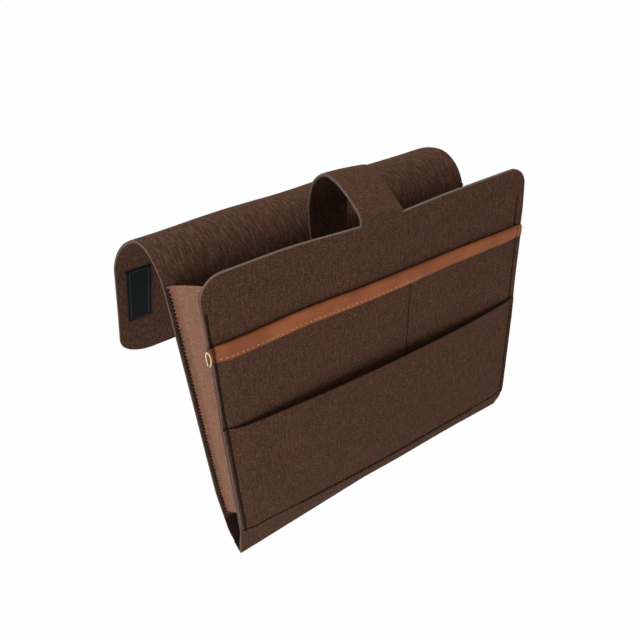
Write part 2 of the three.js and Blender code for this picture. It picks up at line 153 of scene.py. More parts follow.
class BendLine:
    """A line in the YZ plane made of straight runs and bends. A heading is measured from
    +Z towards +Y."""

    def __init__(self, start, heading, moves):
        lengths = [0.0]
        ys = [start[0]]
        zs = [start[1]]
        headings = [heading]
        for move in moves:
            y, z, h, length = ys[-1], zs[-1], headings[-1], lengths[-1]
            if move[0] == "run":
                angle = math.radians(h)
                lengths.append(length + move[1])
                ys.append(y + move[1] * math.sin(angle))
                zs.append(z + move[1] * math.cos(angle))
                headings.append(h)
                continue
            radius, target = move[1], move[2]
            turn = target - h
            signed = math.copysign(radius, turn)
            steps = max(4, math.ceil(abs(turn) / 1.5))
            a0 = math.radians(h)
            for step in range(1, steps + 1):
                a = math.radians(h + turn * step / steps)
                lengths.append(length + radius * abs(math.radians(turn)) * step / steps)
                ys.append(y + signed * (math.cos(a0) - math.cos(a)))
                zs.append(z + signed * (math.sin(a) - math.sin(a0)))
                headings.append(h + turn * step / steps)
        self.lengths = np.array(lengths)
        self.ys = np.array(ys)
        self.zs = np.array(zs)
        self.headings = np.array(headings)
        self.length = lengths[-1]

    def at(self, distance):
        """Y, Z and heading in radians at each distance along the line."""
        return (
            np.interp(distance, self.lengths, self.ys),
            np.interp(distance, self.lengths, self.zs),
            np.radians(np.interp(distance, self.lengths, self.headings)),
        )


FLAP_LINE = BendLine(
    CROWN,
    90.0,
    [
        ("bend", 85.0, 109.0),
        ("bend", 286.0, 132.0),
        ("bend", 70.0, 145.6),
        ("run", FLAP_STRAIGHT),
    ],
)

# One sheet of felt runs from the top of the arch down the back, round the fold at the
# bottom and up the front. At the left end it is sharply creased at the front of the fold.
CREASE_RADIUS = 2.2
CREASE_CUT = CREASE_RADIUS * math.tan(math.radians((UNDER_LEAN - LOWER_LEAN) / 2))
LEFT_MOVES = [
    ("bend", 34.7, -180.0),
    ("run", 216.0),
    ("bend", 60.0, -162.0),
    ("run", 29.4),
    ("bend", 10.0, -UNDER_LEAN),
    ("run", 21.75 - CREASE_CUT),
    ("bend", CREASE_RADIUS, -LOWER_LEAN),
    ("run", CREASE_RUN - CREASE_CUT),
    ("bend", 40.0, -FRONT_LEAN),
    ("run", FRONT_STRAIGHT),
]
LEFT_FOLD = BendLine(CROWN, -90.0, LEFT_MOVES)


def right_moves():
    """At the right end the fold is rounder and its crease lies higher. The three runs about
    it are worked out so that the line has the same ends and the same length as on the left."""
    toe_heading = -56.0
    headings = [-180.0, toe_heading, -LOWER_LEAN]
    bends = [
        ("bend", 14.0, toe_heading),
        ("bend", 4.0, -LOWER_LEAN),
        ("bend", 40.0, -FRONT_LEAN),
    ]
    moves = LEFT_MOVES[:2] + bends + LEFT_MOVES[-1:]
    bare = BendLine(CROWN, -90.0, moves)
    ways = [math.radians(heading) for heading in headings]
    sums = [[math.sin(way) for way in ways], [math.cos(way) for way in ways], [1.0] * 3]
    missing = [
        LEFT_FOLD.ys[-1] - bare.ys[-1],
        LEFT_FOLD.zs[-1] - bare.zs[-1],
        LEFT_FOLD.length - bare.length,
    ]
    runs = [("run", float(value)) for value in np.linalg.solve(sums, missing)]
    return [*LEFT_MOVES[:2], runs[0], bends[0], runs[1], bends[1], runs[2], *moves[-2:]]


RIGHT_FOLD = BendLine(CROWN, -90.0, right_moves())
FOLD_LENGTH = LEFT_FOLD.length
# The back and the front of the sheet meet just behind the crease.
BUTT = FOLD_LENGTH - (FRONT_STRAIGHT + LOWER_BEND + CREASE_RUN + BEHIND_CREASE)
STRAP_LINE = BendLine(
    (-87.992, 160.397),
    -FRONT_LEAN,
    [
        ("run", 4.3),
        ("bend", 7.0, 45.0),
        ("bend", 80.0, 72.0),
        ("run", 4.131),
        ("bend", 20.0, 109.0),
        ("bend", 38.0, 148.0),
        ("bend", 75.0, 180.0),
        ("run", 28.585),
    ],
)


# ---------------------------------------------------------------- surfaces


def ease(value, start, end):
    """0 before start, 1 after end, smooth between."""
    t = np.clip((value - start) / (end - start), 0.0, 1.0)
    return t * t * (3.0 - 2.0 * t)


def fade(value, start, end):
    """1 before start, 0 after end, smooth between."""
    return 1.0 - ease(value, start, end)


def hill(distance, width):
    """1 at no distance, and falling away smoothly on both sides."""
    return np.exp(-((distance / width) ** 2))


def ripple(a, b, size, seed):
    """A smooth uneven field between about -1 and 1, whose waves are about size long."""
    waves = 7
    random = np.random.default_rng(seed)
    total = np.zeros(np.broadcast(a, b).shape)
    for _ in range(waves):
        angle = random.uniform(0.0, math.tau)
        length = size * random.uniform(0.6, 1.6)
        phase = random.uniform(0.0, math.tau)
        along = a * math.cos(angle) + b * math.sin(angle)
        total += np.sin(math.tau * along / length + phase)
    return total / (waves / 2)


def stacked(x, y, z):
    """Points from their coordinates, each a number or a grid of them."""
    return np.stack(np.broadcast_arrays(x, y, z), axis=-1)


def settings_of(context):
    return context.scene.felt_caddy


def fold_place(x, s, out):
    """A point off the middle of the folded sheet, on its outer side. s is the length of felt
    from the top of the arch."""
    share = np.clip((x + HALF_WIDTH) / WIDTH, 0.0, 1.0)
    left_y, left_z, left_heading = LEFT_FOLD.at(s)
    right_y, right_z, right_heading = RIGHT_FOLD.at(s)
    y = left_y + (right_y - left_y) * share
    z = left_z + (right_z - left_z) * share
    heading = left_heading + (right_heading - left_heading) * share
    # Towards the right the fold lies a little higher.
    near_fold = ease(s, BUTT - 75.0, BUTT - 5.0) * fade(s, BUTT + 30.0, BUTT + 95.0)
    z = z + (3.8 * ease(x, 20.0, 115.0) - 1.2 * ease(x, 125.0, 165.0)) * near_fold
    return stacked(x, y - out * np.cos(heading), z + out * np.sin(heading))


def inside_seams(x):
    """How far x lies inside the nearer side seam, negative in the margins."""
    return np.minimum(x - SEAM_LEFT, SEAM_RIGHT - x)


def in_side_seam(x):
    """Where a side seam packs the felt hard and its groove's shade is painted."""
    return np.abs(inside_seams(x)) < SEAM_SHADE_REACH


def across_share(x):
    """1 midway between the side seams and 0 at and outside them."""
    middle = (SEAM_LEFT + SEAM_RIGHT) / 2
    half = (SEAM_RIGHT - SEAM_LEFT) / 2
    return np.clip(1.0 - ((x - middle) / half) ** 2, 0.0, 1.0)


def bulge_at(x, v, settings):
    """How far the front panel and its pockets stand out of the flat."""
    # The panel is fullest near its bottom, the strap pulls its top out, and left of the
    # strap it dips in.
    down = ease(v, 160.0, 258.0) * fade(v, 284.0, 326.0)
    strap_pull = hill(x - STRAP_MIDDLE, 62.0) * fade(v, 0.0, 75.0)
    dent = hill(x + 80.0, 42.0) * fade(v, 60.0, 130.0)
    # The left side hangs closer to the back than the right side, from the trim down.
    drawn_in = fade(x, 30.0, 150.0) * ease(v, 50.0, 125.0)
    drawn_in = drawn_in * (1.0 - 0.5 * ease(v, 290.0, 330.0))
    return (
        settings.panel_bulge / MM * across_share(x) * down
        + 2.4 * strap_pull
        - 2.4 * dent
        - 3.2 * drawn_in
    )


def top_dip(x, v):
    """How far the top edge of the front panel hangs low, at the strap and to the right."""
    dip = 2.7 * hill(x + 10.0, 70.0) + 1.3 * ease(x, 20.0, 120.0)
    return dip * fade(v, 0.0, 52.0)


def front_place(x, v, out, settings):
    """A point off the middle surface of the front panel."""
    dip = stacked(0.0, 0.0, top_dip(x, v))
    # Above the lower pocket the right edge is pulled in a little.
    x = x - 1.4 * ease(x, 140.0, HALF_WIDTH) * fade(v, 110.0, 170.0)
    return fold_place(x, FOLD_LENGTH - v, out + bulge_at(x, v, settings)) - dip


def recess_at(x, v):
    """How far out the sheets behind the lower pocket's mouth lie: negative, as they lean in."""
    return -1.8 * across_share(x) * ease(v, 108.0, 150.0) * fade(v, 200.0, 262.0)


def kept_at(x, v):
    """1 where the side seams hold the layers together, fading over the next centimetre."""
    sewn = ease(v, 20.0, 46.0) * fade(v, 268.0, 300.0)
    return sewn * hill(np.clip(inside_seams(x), 0.0, None), 7.0)


def pressed_at(x, v):
    """Share of its height that a layer loses at a side seam."""
    return np.where(x < 0, PRESSED_LEFT, PRESSED_RIGHT) * kept_at(x, v)


def near_mouth(v):
    """0 by the trim, and 1 from the mouth of the lower pocket down."""
    return ease(v, 112.0, 150.0)


def left_turn(v):
    """Angle at which the left margin of the front panel turns out, or in where negative."""
    return 10.0 - 28.0 * near_mouth(v)


def sewn_layer(x, v, out, settings, left_angle, right_angle):
    """A layer of the front that is sewn down at the sides: the stitches press it towards the
    panel, and outside them its loose margin turns outwards."""
    beyond = np.clip(-inside_seams(x), 0.0, None)
    beyond = beyond * np.where(x < 0, 1.0 + 0.35 * near_mouth(v), 1.0)
    kept = kept_at(x, v)
    angle = np.radians(np.where(x < 0, left_angle, right_angle)) * kept
    angle = angle * ease(beyond, 0.0, 2.0)
    pressed = out * (1.0 - pressed_at(x, v))
    flat_x = np.clip(x, SEAM_LEFT, SEAM_RIGHT) + np.sign(x) * beyond * np.cos(angle)
    return front_place(flat_x, v, pressed + beyond * np.sin(angle), settings)


def front_surface(settings):
    """The front panel, by places across and distances down."""

    def place(x, v):
        return sewn_layer(x, v, recess_at(x, v), settings, left_turn(v), right_angle=16.0)

    return place


def upper_pocket_surface(settings):
    """The upper pocket, whose left margin turns out a little more than the panel's."""

    def place(x, v):
        left = left_turn(v) + 8.0
        out = UPPER_POCKET_OUT + recess_at(x, v)
        return sewn_layer(x, v, out, settings, left, right_angle=16.0)

    return place


def pocket_bow(x, v, settings):
    """How far the lower pocket stands off, most in the middle of its mouth."""
    share = np.clip((v - LOWER_POCKET_TOP) / (POCKET_SEAM - LOWER_POCKET_TOP), 0.0, 1.0)
    return settings.pocket_bow / MM * across_share(x) * (1.0 - share**2)


def lower_pocket_surface(settings):
    """The lower pocket, bowed out at its mouth."""

    def place(x, v):
        # The bottom edge and the mouth rise a little to the right, and the bottom left
        # corner hangs low.
        slope = 3.0 * ease(x, -20.0, 150.0) * ease(v, 190.0, POCKET_BOTTOM)
        slope = slope - 4.5 * ease(-x, 138.0, 165.0) * ease(v, 215.0, POCKET_BOTTOM)
        slope = slope + 3.5 * ease(x, 50.0, 150.0) * fade(v, LOWER_POCKET_TOP, 190.0)
        out = LOWER_POCKET_OUT + pocket_bow(x, v, settings)
        # Its left margin flares unevenly.
        left = left_turn(v) + 14.0 + 3.0 * np.sin(v / 27.0)
        return sewn_layer(x, v - slope, out, settings, left, right_angle=8.0)

    return place


def main_surface(settings):
    """The one sheet from the fold up the back, over the arch and down the flap. The second
    coordinate is the length from the top of the arch, negative on the flap."""

    def place(x, s):
        wave = ripple(x, s, size=170.0, seed=3) * settings.felt_relief / MM
        wave = wave * fade(s, 225.0, 270.0)
        back = fold_place(x, np.clip(s, 0.0, None), -wave)
        y, z, heading = FLAP_LINE.at(np.clip(-s, 0.0, None))
        flap = stacked(x, y - wave * np.cos(heading), z + wave * np.sin(heading))
        return np.where((s < 0.0)[..., None], flap, back)

    return place


def strap_surface(settings):
    """The strap. The second coordinate is the length from the top of the front panel."""

    def place(x, s):
        y, z, heading = STRAP_LINE.at(s)
        # At its foot the strap follows the bulge and the dip of the panel's top edge.
        push = bulge_at(x, 0.0, settings) * fade(s, 0.0, 34.0)
        lean = math.radians(-FRONT_LEAN)
        across = (x - STRAP_MIDDLE) / STRAP_HALF
        # The strap cups a little across its width, and its right side hangs lower.
        cup = 0.8 * np.sin(np.pi * np.clip(s / 90.0, 0.0, 1.0)) * across**2
        sag = settings.strap_sag / MM * (across + 1.0) / 2.0
        sag = sag * ease(s, 0.0, 13.0) * (1.0 - 0.5 * ease(s, 25.0, 55.0))
        sag = sag * fade(s, 95.0, 130.0) + top_dip(x, 0.0) * fade(s, 0.0, 40.0)
        # The top of its arch is flattened.
        drop = 2.2 * ease(s, 35.0, 75.0) * fade(s, 118.0, 150.0)
        y = y - push * math.cos(lean) + cup * np.cos(heading) - 0.4 * drop
        z = z + push * math.sin(lean) - cup * np.sin(heading) - sag - drop
        return stacked(x, y, z)

    return place


def surface_normals(surface, x, s):
    """Unit normals of a surface, from places a little to each side."""
    step = 0.05
    across = surface(x + step, s) - surface(x - step, s)
    along = surface(x, s + step) - surface(x, s - step)
    normal = np.cross(across, along)
    return normal / np.linalg.norm(normal, axis=-1, keepdims=True)


# ---------------------------------------------------------------- meshes


def spread(stops, step):
    """The stops, with evenly spaced values between them no further apart than step."""
    values = []
    for low, high in zip(stops[:-1], stops[1:]):
        count = max(1, math.ceil((high - low) / step))
        values.extend(low + (high - low) * i / count for i in range(count))
    values.append(stops[-1])
    return values


def lines_about(centre):
    """Close lines on both sides of a seam, so that its groove has a round section."""
    return [centre + offset for offset in (-2.6, -1.6, -1.05, -0.4, 0.4, 1.05, 1.6, 2.6)]


def edge_lines(low, high):
    """Close lines inside both cut edges of a sheet."""
    return [low + step for step in EDGE_STEPS], [high - step for step in reversed(EDGE_STEPS)]


def side_gap_of(x):
    """How far each point of a grid lies inside the ends of its row."""
    low = x.min(axis=1, keepdims=True)
    high = x.max(axis=1, keepdims=True)
    return np.minimum(x - low, high - x)


def cut_grid(half_width, xs, ss, corner=0.0, corner_at="none", keep=0.0):
    """Flat places of a sheet's points, and how far each lies inside the cut edge. The sheet
    narrows at the named end to its rounded corners, and columns within keep stay straight."""
    low, high = ss[0], ss[-1]
    if corner:
        turns = [corner * (1.0 - math.cos(math.pi / 2 * i / 14)) for i in range(15)]
        turns += EDGE_STEPS[1:3]
        if corner_at == "low":
            ss = sorted({low + t for t in turns} | {s for s in ss if s > low + corner})
        else:
            ss = sorted({high - t for t in turns} | {s for s in ss if s < high - corner})
    x = np.array(xs, float)[None, :]
    s = np.array(ss, float)[:, None]
    x, s = np.broadcast_arrays(x, s)
    end_gap = (s - low) if corner_at == "low" else (high - s)
    if corner:
        into = np.clip(corner - end_gap, 0.0, corner)
        half_here = half_width - corner + np.sqrt(np.clip(corner**2 - into**2, 0.0, None))
        beyond = np.clip(np.abs(x) - keep, 0.0, None) / (half_width - keep)
        scaled = np.sign(x) * (keep + beyond * (half_here - keep))
        x = np.where(np.abs(x) > keep, scaled, x)
    side_gap = side_gap_of(x)
    inset = np.minimum(side_gap, np.minimum(s - low, high - s))
    if corner:
        in_corner = (np.abs(x) > half_width - corner) & (end_gap < corner)
        reach = np.hypot(np.abs(x) - (half_width - corner), corner - end_gap)
        inset = np.where(in_corner, np.minimum(inset, corner - reach), inset)
    return x, s, np.clip(inset, 0.0, None)


def link_object(name, verts, faces, slots, materials, uvs=None):
    """A new smooth mesh object. verts are in millimetres."""
    mesh = bpy.data.meshes.new(name)
    mesh.from_pydata((np.asarray(verts) * MM).tolist(), [], faces)
    for material in materials:
        mesh.materials.append(material)
    mesh.polygons.foreach_set("material_index", np.asarray(slots, np.int32))
    mesh.polygons.foreach_set("use_smooth", np.ones(len(faces), bool))
    if uvs is not None:
        layer = mesh.uv_layers.new(name="cloth")
        loops = np.zeros(len(mesh.loops), np.int32)
        mesh.loops.foreach_get("vertex_index", loops)
        layer.data.foreach_set("uv", (np.asarray(uvs) * MM)[loops].ravel())
    mesh.validate()
    mesh.update()
    piece = bpy.data.objects.new(name, mesh)
    bpy.context.scene.collection.objects.link(piece)
    return piece


def slab(
    name,
    surface,
    grid,
    thickness,
    materials,
    press_top=0.0,
    press_under=0.0,
    butt=(),
    dark=None,
    dark_top=None,
    dark_under=None,
    dark_start=False,
):
    """A closed sheet about a middle surface. The first material is on both faces, or the
    first two on one face each, and the last is on the cut edge. press_top and press_under
    thin it at grooves. butt names the places that meet another sheet and stay square. dark is
    one more material: dark_top and dark_under are masks of the grid points between which a
    face has it, and dark_start puts it on the edge at the low end."""
    x, s, gap = grid
    rows, columns = x.shape
    middle = surface(x, s)
    normal = surface_normals(surface, x, s)
    # Near an end that meets another sheet only the sides are cut edges.
    butt_reach, no_edge = 3.0, 5.0
    if "low" in butt:
        gap = np.where(s - s.min() < butt_reach, side_gap_of(x), gap)
    if "high" in butt:
        gap = np.where(s.max() - s < butt_reach, side_gap_of(x), gap)
    if "strap" in butt:
        under_strap = np.abs(x - STRAP_MIDDLE) < STRAP_HALF - 0.2
        gap = np.where(under_strap & (s < butt_reach), no_edge, gap)
    # The faces round off towards the cut edge and are slightly uneven.
    soft = thickness / 2 * (1.0 - 0.26 * hill(gap, 0.45))
    fuzz = ripple(x, s, size=5.0, seed=21) * 0.05
    top = middle + normal * (soft - press_top + fuzz)[..., None]
    under = middle - normal * (soft - press_under + fuzz)[..., None]
    top_id = np.arange(rows * columns).reshape(rows, columns)
    under_id = top_id + rows * columns
    border = (
        [(0, c) for c in range(columns - 1)]
        + [(r, columns - 1) for r in range(rows - 1)]
        + [(rows - 1, c) for c in range(columns - 1, 0, -1)]
        + [(r, 0) for r in range(rows - 1, 0, -1)]
    )
    # Half-way down the cut edge the felt swells out a little.
    rim = []
    for r, c in border:
        inner_r = min(max(r, 1), rows - 2)
        inner_c = min(max(c, 1), columns - 2)
        outward = middle[r, c] - middle[inner_r, inner_c]
        outward = outward / max(np.linalg.norm(outward), 1e-9)
        square = ("low" in butt and r == 0) or ("high" in butt and r == rows - 1)
        swell = 0.0 if square else 0.22 * thickness / FELT
        centre = (top[r, c] + under[r, c]) / 2
        rim.append(centre + outward * swell)
    rim_start = 2 * rows * columns
    verts = np.concatenate([top.reshape(-1, 3), under.reshape(-1, 3), np.array(rim)])
    under_slot = 1 if len(materials) == 3 else 0
    edge_slot = len(materials) - 1
    dark_slot = len(materials)
    # The dark material paints shade into the colour: the shade of seam grooves, of the inside
    # of the bottom fold and of the lower pocket's mouth edge.
    if dark is not None:
        materials = [*materials, dark]

    def cell_slot(mask, r, c, face_slot):
        """The material of one cell of the grid on a face."""
        if mask is not None and mask[r : r + 2, c : c + 2].all():
            return dark_slot
        at_edge = gap[r : r + 2, c : c + 2].max() < 0.4 and not (dark_start and r == 0)
        return edge_slot if at_edge else face_slot

    faces = []
    slots = []
    for r in range(rows - 1):
        for c in range(columns - 1):
            cell = [(r, c), (r, c + 1), (r + 1, c + 1), (r + 1, c)]
            faces.append([top_id[corner] for corner in cell])
            slots.append(cell_slot(dark_top, r, c, 0))
            faces.append([under_id[corner] for corner in cell[:1] + cell[:0:-1]])
            slots.append(cell_slot(dark_under, r, c, under_slot))
    count = len(border)
    for i in range(count):
        j = (i + 1) % count
        a, b = top_id[border[i]], top_id[border[j]]
        c, d = under_id[border[i]], under_id[border[j]]
        faces.append((a, rim_start + i, rim_start + j, b))
        faces.append((rim_start + i, c, d, rim_start + j))
        in_dark = dark_start and border[i][0] == border[j][0] == 0
        slots.extend([dark_slot if in_dark else edge_slot] * 2)
    flat = np.stack([x.ravel(), s.ravel()], axis=-1)
    rim_flat = np.array([flat[top_id[r, c]] for r, c in border])
    uvs = np.concatenate([flat, flat, rim_flat])
    faces = [tuple(int(i) for i in face) for face in faces]
    return link_object(name, verts, faces, slots, materials, uvs)


def groove(distance, depth, width):
    """How deep a thread pulls a face in, at a distance from it."""
    return depth * hill(distance, width)


def seam_press(x, depth):
    """The groove that the side seams pull into a face."""
    return groove(inside_seams(x), depth, width=1.0)


def tube(points, radius, sides=6):
    """Verts and faces of a closed thread along the points, thin at its ends."""
    points = np.asarray(points, float)
    count = len(points)
    tangents = np.gradient(points, axis=0)
    tangents /= np.linalg.norm(tangents, axis=1, keepdims=True)
    # A direction that no thread runs along
    guide = np.array([0.31, 0.52, 0.79])
    verts = []
    for i in range(count):
        first = np.cross(tangents[i], guide)
        first /= np.linalg.norm(first)
        second = np.cross(tangents[i], first)
        share = i / (count - 1)
        size = radius * (0.35 + 0.65 * math.sin(math.pi * share) ** 0.5)
        for k in range(sides):
            angle = math.tau * k / sides
            around = first * math.cos(angle) + second * math.sin(angle)
            verts.append(points[i] + around * size)
    faces = []
    for i in range(count - 1):
        for k in range(sides):
            n = (k + 1) % sides
            faces.append(
                (i * sides + k, i * sides + n, (i + 1) * sides + n, (i + 1) * sides + k)
            )
    faces.append(tuple(range(sides - 1, -1, -1)))
    faces.append(tuple((count - 1) * sides + k for k in range(sides)))
    return verts, faces


def thread_object(name, runs, radius, material):
    """One object of many short threads, each given by its points."""
    verts = []
    faces = []
    for points in runs:
        new_verts, new_faces = tube(points, radius)
        faces.extend(tuple(i + len(verts) for i in face) for face in new_faces)
        verts.extend(new_verts)
    return link_object(name, verts, faces, [0] * len(faces), [material])


def running_stitches(surface, from_point, to_point, pitch, depth, lift, random):
    """Threads of a running seam between two flat places. Along the surface's normal the
    middle of a stitch lies at lift, and its ends at lift less depth."""
    start = np.array(from_point, float)
    end = np.array(to_point, float)
    count = max(1, int(np.linalg.norm(end - start) / pitch))
    gap_share, sway = 0.14, 0.12
    shares = np.linspace(0.0, 1.0, 6)
    runs = []
    for i in range(count):
        a = start + (end - start) * (i + gap_share) / count
        b = start + (end - start) * (i + (1.0 - gap_share)) / count
        side = random.uniform(-sway, sway)
        x = a[0] + (b[0] - a[0]) * shares + side
        s = a[1] + (b[1] - a[1]) * shares
        points = surface(x, s)
        normal = surface_normals(surface, x, s)
        height = lift - depth * (1.0 - np.sin(np.pi * shares))
        runs.append(points + normal * height[:, None])
    return runs


# ---------------------------------------------------------------- materials


def colour(code):
    """Linear colour of an sRGB hex code."""
    values = []
    for i in (1, 3, 5):
        part = int(code[i : i + 2], 16) / 255
        linear = part / 12.92 if part <= 0.04045 else ((part + 0.055) / 1.055) ** 2.4
        values.append(linear)
    return (*values, 1.0)


def set_sockets(tree, node, values=None, links=None):
    """Give a node's sockets their values and the sockets they are fed from."""
    for key, value in (values or {}).items():
        node.inputs[key].default_value = value
    for key, source in (links or {}).items():
        tree.links.new(source, node.inputs[key])


def add_node(tree, kind, settings=None, values=None, links=None):
    """A new node, with its settings, its sockets' values and the sockets it is fed from."""
    node = tree.nodes.new(kind)
    for key, value in (settings or {}).items():
        setattr(node, key, value)
    set_sockets(tree, node, values, links)
    return node


def seen_share(tree, share):
    """share where the camera looks, directly or by reflection, and 0 for the light that
    falls on the object."""
    path = add_node(tree, "ShaderNodeLightPath")
    seen = path.outputs["Is Camera Ray"]
    for ray in ("Is Glossy Ray", "Is Transmission Ray"):
        either = add_node(
            tree,
            "ShaderNodeMath",
            settings={"operation": "MAXIMUM"},
            links={0: seen, 1: path.outputs[ray]},
        )
        seen = either.outputs[0]
    scaled = add_node(
        tree,
        "ShaderNodeMath",
        settings={"operation": "MULTIPLY"},
        values={1: share},
        links={0: seen},
    )
    return scaled.outputs[0]


def set_ramp(node, stops):
    """Give a ramp its stops, each a place and a hex code or a linear colour."""
    ramp = node.color_ramp
    while len(ramp.elements) < len(stops):
        ramp.elements.new(0.5)
    for element, (position, code) in zip(ramp.elements, stops):
        element.position = position
        element.color = colour(code) if isinstance(code, str) else code


def shades(setting, dark, middle, light, lift=0.0):
    """Ramp stops about a colour of the panel: each share multiplies it, and lift greys it."""
    base = getattr(settings_of(bpy.context), setting)
    return [
        (place, (*(min(1.0, (value + lift) * share) for value in base), 1.0))
        for place, share in zip((0.36, 0.50, 0.64), (dark, middle, light))
    ]


def new_material(name):
    """A new material, its node tree and its shader."""
    material = bpy.data.materials.new(name)
    material.use_nodes = True
    tree = material.node_tree
    return material, tree, tree.nodes["Principled BSDF"]


def shared(make):
    """The material of one of the functions below, named after it and made only once."""
    found = bpy.data.materials.get(make.__name__)
    return make(make.__name__) if found is None else found


def waves_per_metre(size):
    """The scale of a noise texture whose spots are about size millimetres across."""
    return 1.0 / (size * MM)


def pressed_wool(name, stops, spot, streak, streak_share, bump):
    """Needled felt seen close: matted fibres as fine spots, longer fibres as slanted streaks,
    and a slow drift of the wool between reddish and olive. stops are the colours from shade
    to lit fibre, and streak_share is how much the long fibres count."""
    material, tree, shader = new_material(name)
    place = add_node(tree, "ShaderNodeTexCoord")
    fibre = add_node(
        tree,
        "ShaderNodeTexNoise",
        values={"Scale": waves_per_metre(spot), "Detail": 4.0, "Roughness": 0.75},
        links={"Vector": place.outputs["Object"]},
    )
    # The long fibres lie aslant, so their noise is stretched along one direction of the cloth.
    turned = add_node(
        tree,
        "ShaderNodeMapping",
        values={"Rotation": (0.0, 0.0, math.radians(16.0)), "Scale": (1.0, 0.2, 1.0)},
        links={"Vector": place.outputs["UV"]},
    )
    strands = add_node(
        tree,
        "ShaderNodeTexNoise",
        values={"Scale": waves_per_metre(streak), "Detail": 3.0, "Roughness": 0.6},
        links={"Vector": turned.outputs["Vector"]},
    )
    slow = add_node(
        tree,
        "ShaderNodeTexNoise",
        values={"Scale": waves_per_metre(30.0), "Detail": 2.0},
        links={"Vector": place.outputs["Object"]},
    )
    both = add_node(
        tree,
        "ShaderNodeMix",
        settings={"data_type": "FLOAT"},
        values={"Factor": streak_share},
        links={"A": fibre.outputs["Fac"], "B": strands.outputs["Fac"]},
    )
    ramp = add_node(tree, "ShaderNodeValToRGB", links={"Fac": both.outputs["Result"]})
    set_ramp(ramp, stops)
    drift = add_node(tree, "ShaderNodeValToRGB", links={"Fac": slow.outputs["Fac"]})
    set_ramp(drift, [(0.38, "#fff2f0"), (0.50, "#fbf5ef"), (0.62, "#f4f5e6")])
    # Sockets 6 and 7 are the two colours of a colour mix, and output 2 is its result.
    dyed = add_node(
        tree,
        "ShaderNodeMix",
        settings={"data_type": "RGBA", "blend_type": "MULTIPLY"},
        values={"Factor": 1.0},
        links={6: ramp.outputs["Color"], 7: drift.outputs["Color"]},
    )
    relief = add_node(
        tree,
        "ShaderNodeBump",
        values={"Strength": bump, "Distance": 0.5 * MM},
        links={"Height": both.outputs["Result"]},
    )
    set_sockets(
        tree,
        shader,
        values={
            "Roughness": 0.95,
            "Specular IOR Level": 0.04,
            "Sheen Weight": 0.04,
            "Sheen Roughness": 0.6,
            "Sheen Tint": colour("#9c8068"),
        },
        links={"Base Color": dyed.outputs[2], "Normal": relief.outputs["Normal"]},
    )
    return material


def brown_wool_felt(name):
    # Dense brown needled felt: a dry matt face of mixed dark and tan fibres.
    # The fibres are far finer than a pixel here, so they are drawn about 1 mm wide.
    stops = shades("felt_colour", 0.50, 1.0, 1.95)
    return pressed_wool(name, stops, spot=1.3, streak=2.2, streak_share=0.2, bump=0.6)


def brown_wool_felt_combed(name):
    # The same felt where bending has combed its long fibres up: slanted tan streaks.
    stops = shades("felt_colour", 0.42, 0.9, 1.9)
    return pressed_wool(name, stops, spot=1.4, streak=2.4, streak_share=0.45, bump=0.8)


def felt_packed_by_seam(name):
    # Much darker felt: in the seam grooves it is felt packed hard by the stitches, with the
    # groove's shade painted in; inside the closed bottom fold and on the lower pocket's mouth
    # edge it is painted shade.
    stops = shades("felt_colour", 0.18, 0.30, 0.45)
    return pressed_wool(name, stops, spot=1.3, streak=2.2, streak_share=0.2, bump=0.3)


def felt_cut_edge(name):
    # The knife-cut side of the felt: looser fibre that catches the light as a pale grey line.
    stops = shades("felt_colour", 0.7, 1.1, 1.6, lift=0.06)
    return pressed_wool(name, stops, spot=1.1, streak=1.6, streak_share=0.3, bump=0.6)


def pink_brown_thin_felt(name):
    # Thinner pink-brown felt of the gussets, speckled with olive fibres.
    stops = shades("gusset_colour", 0.55, 1.0, 1.65)
    return pressed_wool(name, stops, spot=1.6, streak=2.6, streak_share=0.2, bump=0.5)


def thin_felt_cut_edge(name):
    # The cut side of the thin gusset felt: greyer than its face.
    stops = shades("gusset_colour", 0.4, 0.6, 0.85, lift=0.09)
    return pressed_wool(name, stops, spot=1.1, streak=1.6, streak_share=0.3, bump=0.5)


def finished_leather(name, stops):
    """Finished leather: slow clouds of colour and a fine grain of pores."""
    material, tree, shader = new_material(name)
    place = add_node(tree, "ShaderNodeTexCoord")
    cloud = add_node(
        tree,
        "ShaderNodeTexNoise",
        values={"Scale": waves_per_metre(26.0), "Detail": 3.0, "Roughness": 0.55},
        links={"Vector": place.outputs["Object"]},
    )
    ramp = add_node(tree, "ShaderNodeValToRGB", links={"Fac": cloud.outputs["Fac"]})
    set_ramp(ramp, stops)
    # Real pores are about 0.2 mm apart; they are drawn at 0.9 mm to show at all.
    grain = add_node(
        tree,
        "ShaderNodeTexVoronoi",
        values={"Scale": waves_per_metre(0.9)},
        links={"Vector": place.outputs["Object"]},
    )
    relief = add_node(
        tree,
        "ShaderNodeBump",
        values={"Strength": 0.12, "Distance": 0.15 * MM},
        links={"Height": grain.outputs["Distance"]},
    )
    set_sockets(
        tree,
        shader,
        values={"Roughness": 0.55, "Specular IOR Level": 0.22},
        links={"Base Color": ramp.outputs["Color"], "Normal": relief.outputs["Normal"]},
    )
    return material


def tan_smooth_leather(name):
    # Smooth tan leather: even warm brown with a soft sheen and a very fine grain.
    return finished_leather(name, shades("leather_colour", 0.84, 1.0, 1.2))


def leather_in_seam(name):
    # The leather in and beside a side seam: pulled into the groove and painted in its shade and
    # the shade of the turned-out margin, a dark red-brown line across the trim.
    return finished_leather(name, shades("leather_colour", 0.24, 0.32, 0.44))


def finely_spotted(name, stops, spot, detail, values):
    """A material of plain fine spots. values are those of the shader's sockets."""
    material, tree, shader = new_material(name)
    place = add_node(tree, "ShaderNodeTexCoord")
    spots = add_node(
        tree,
        "ShaderNodeTexNoise",
        values={"Scale": waves_per_metre(spot), "Detail": detail},
        links={"Vector": place.outputs["Object"]},
    )
    ramp = add_node(tree, "ShaderNodeValToRGB", links={"Fac": spots.outputs["Fac"]})
    set_ramp(ramp, stops)
    set_sockets(tree, shader, values, links={"Base Color": ramp.outputs["Color"]})
    return material


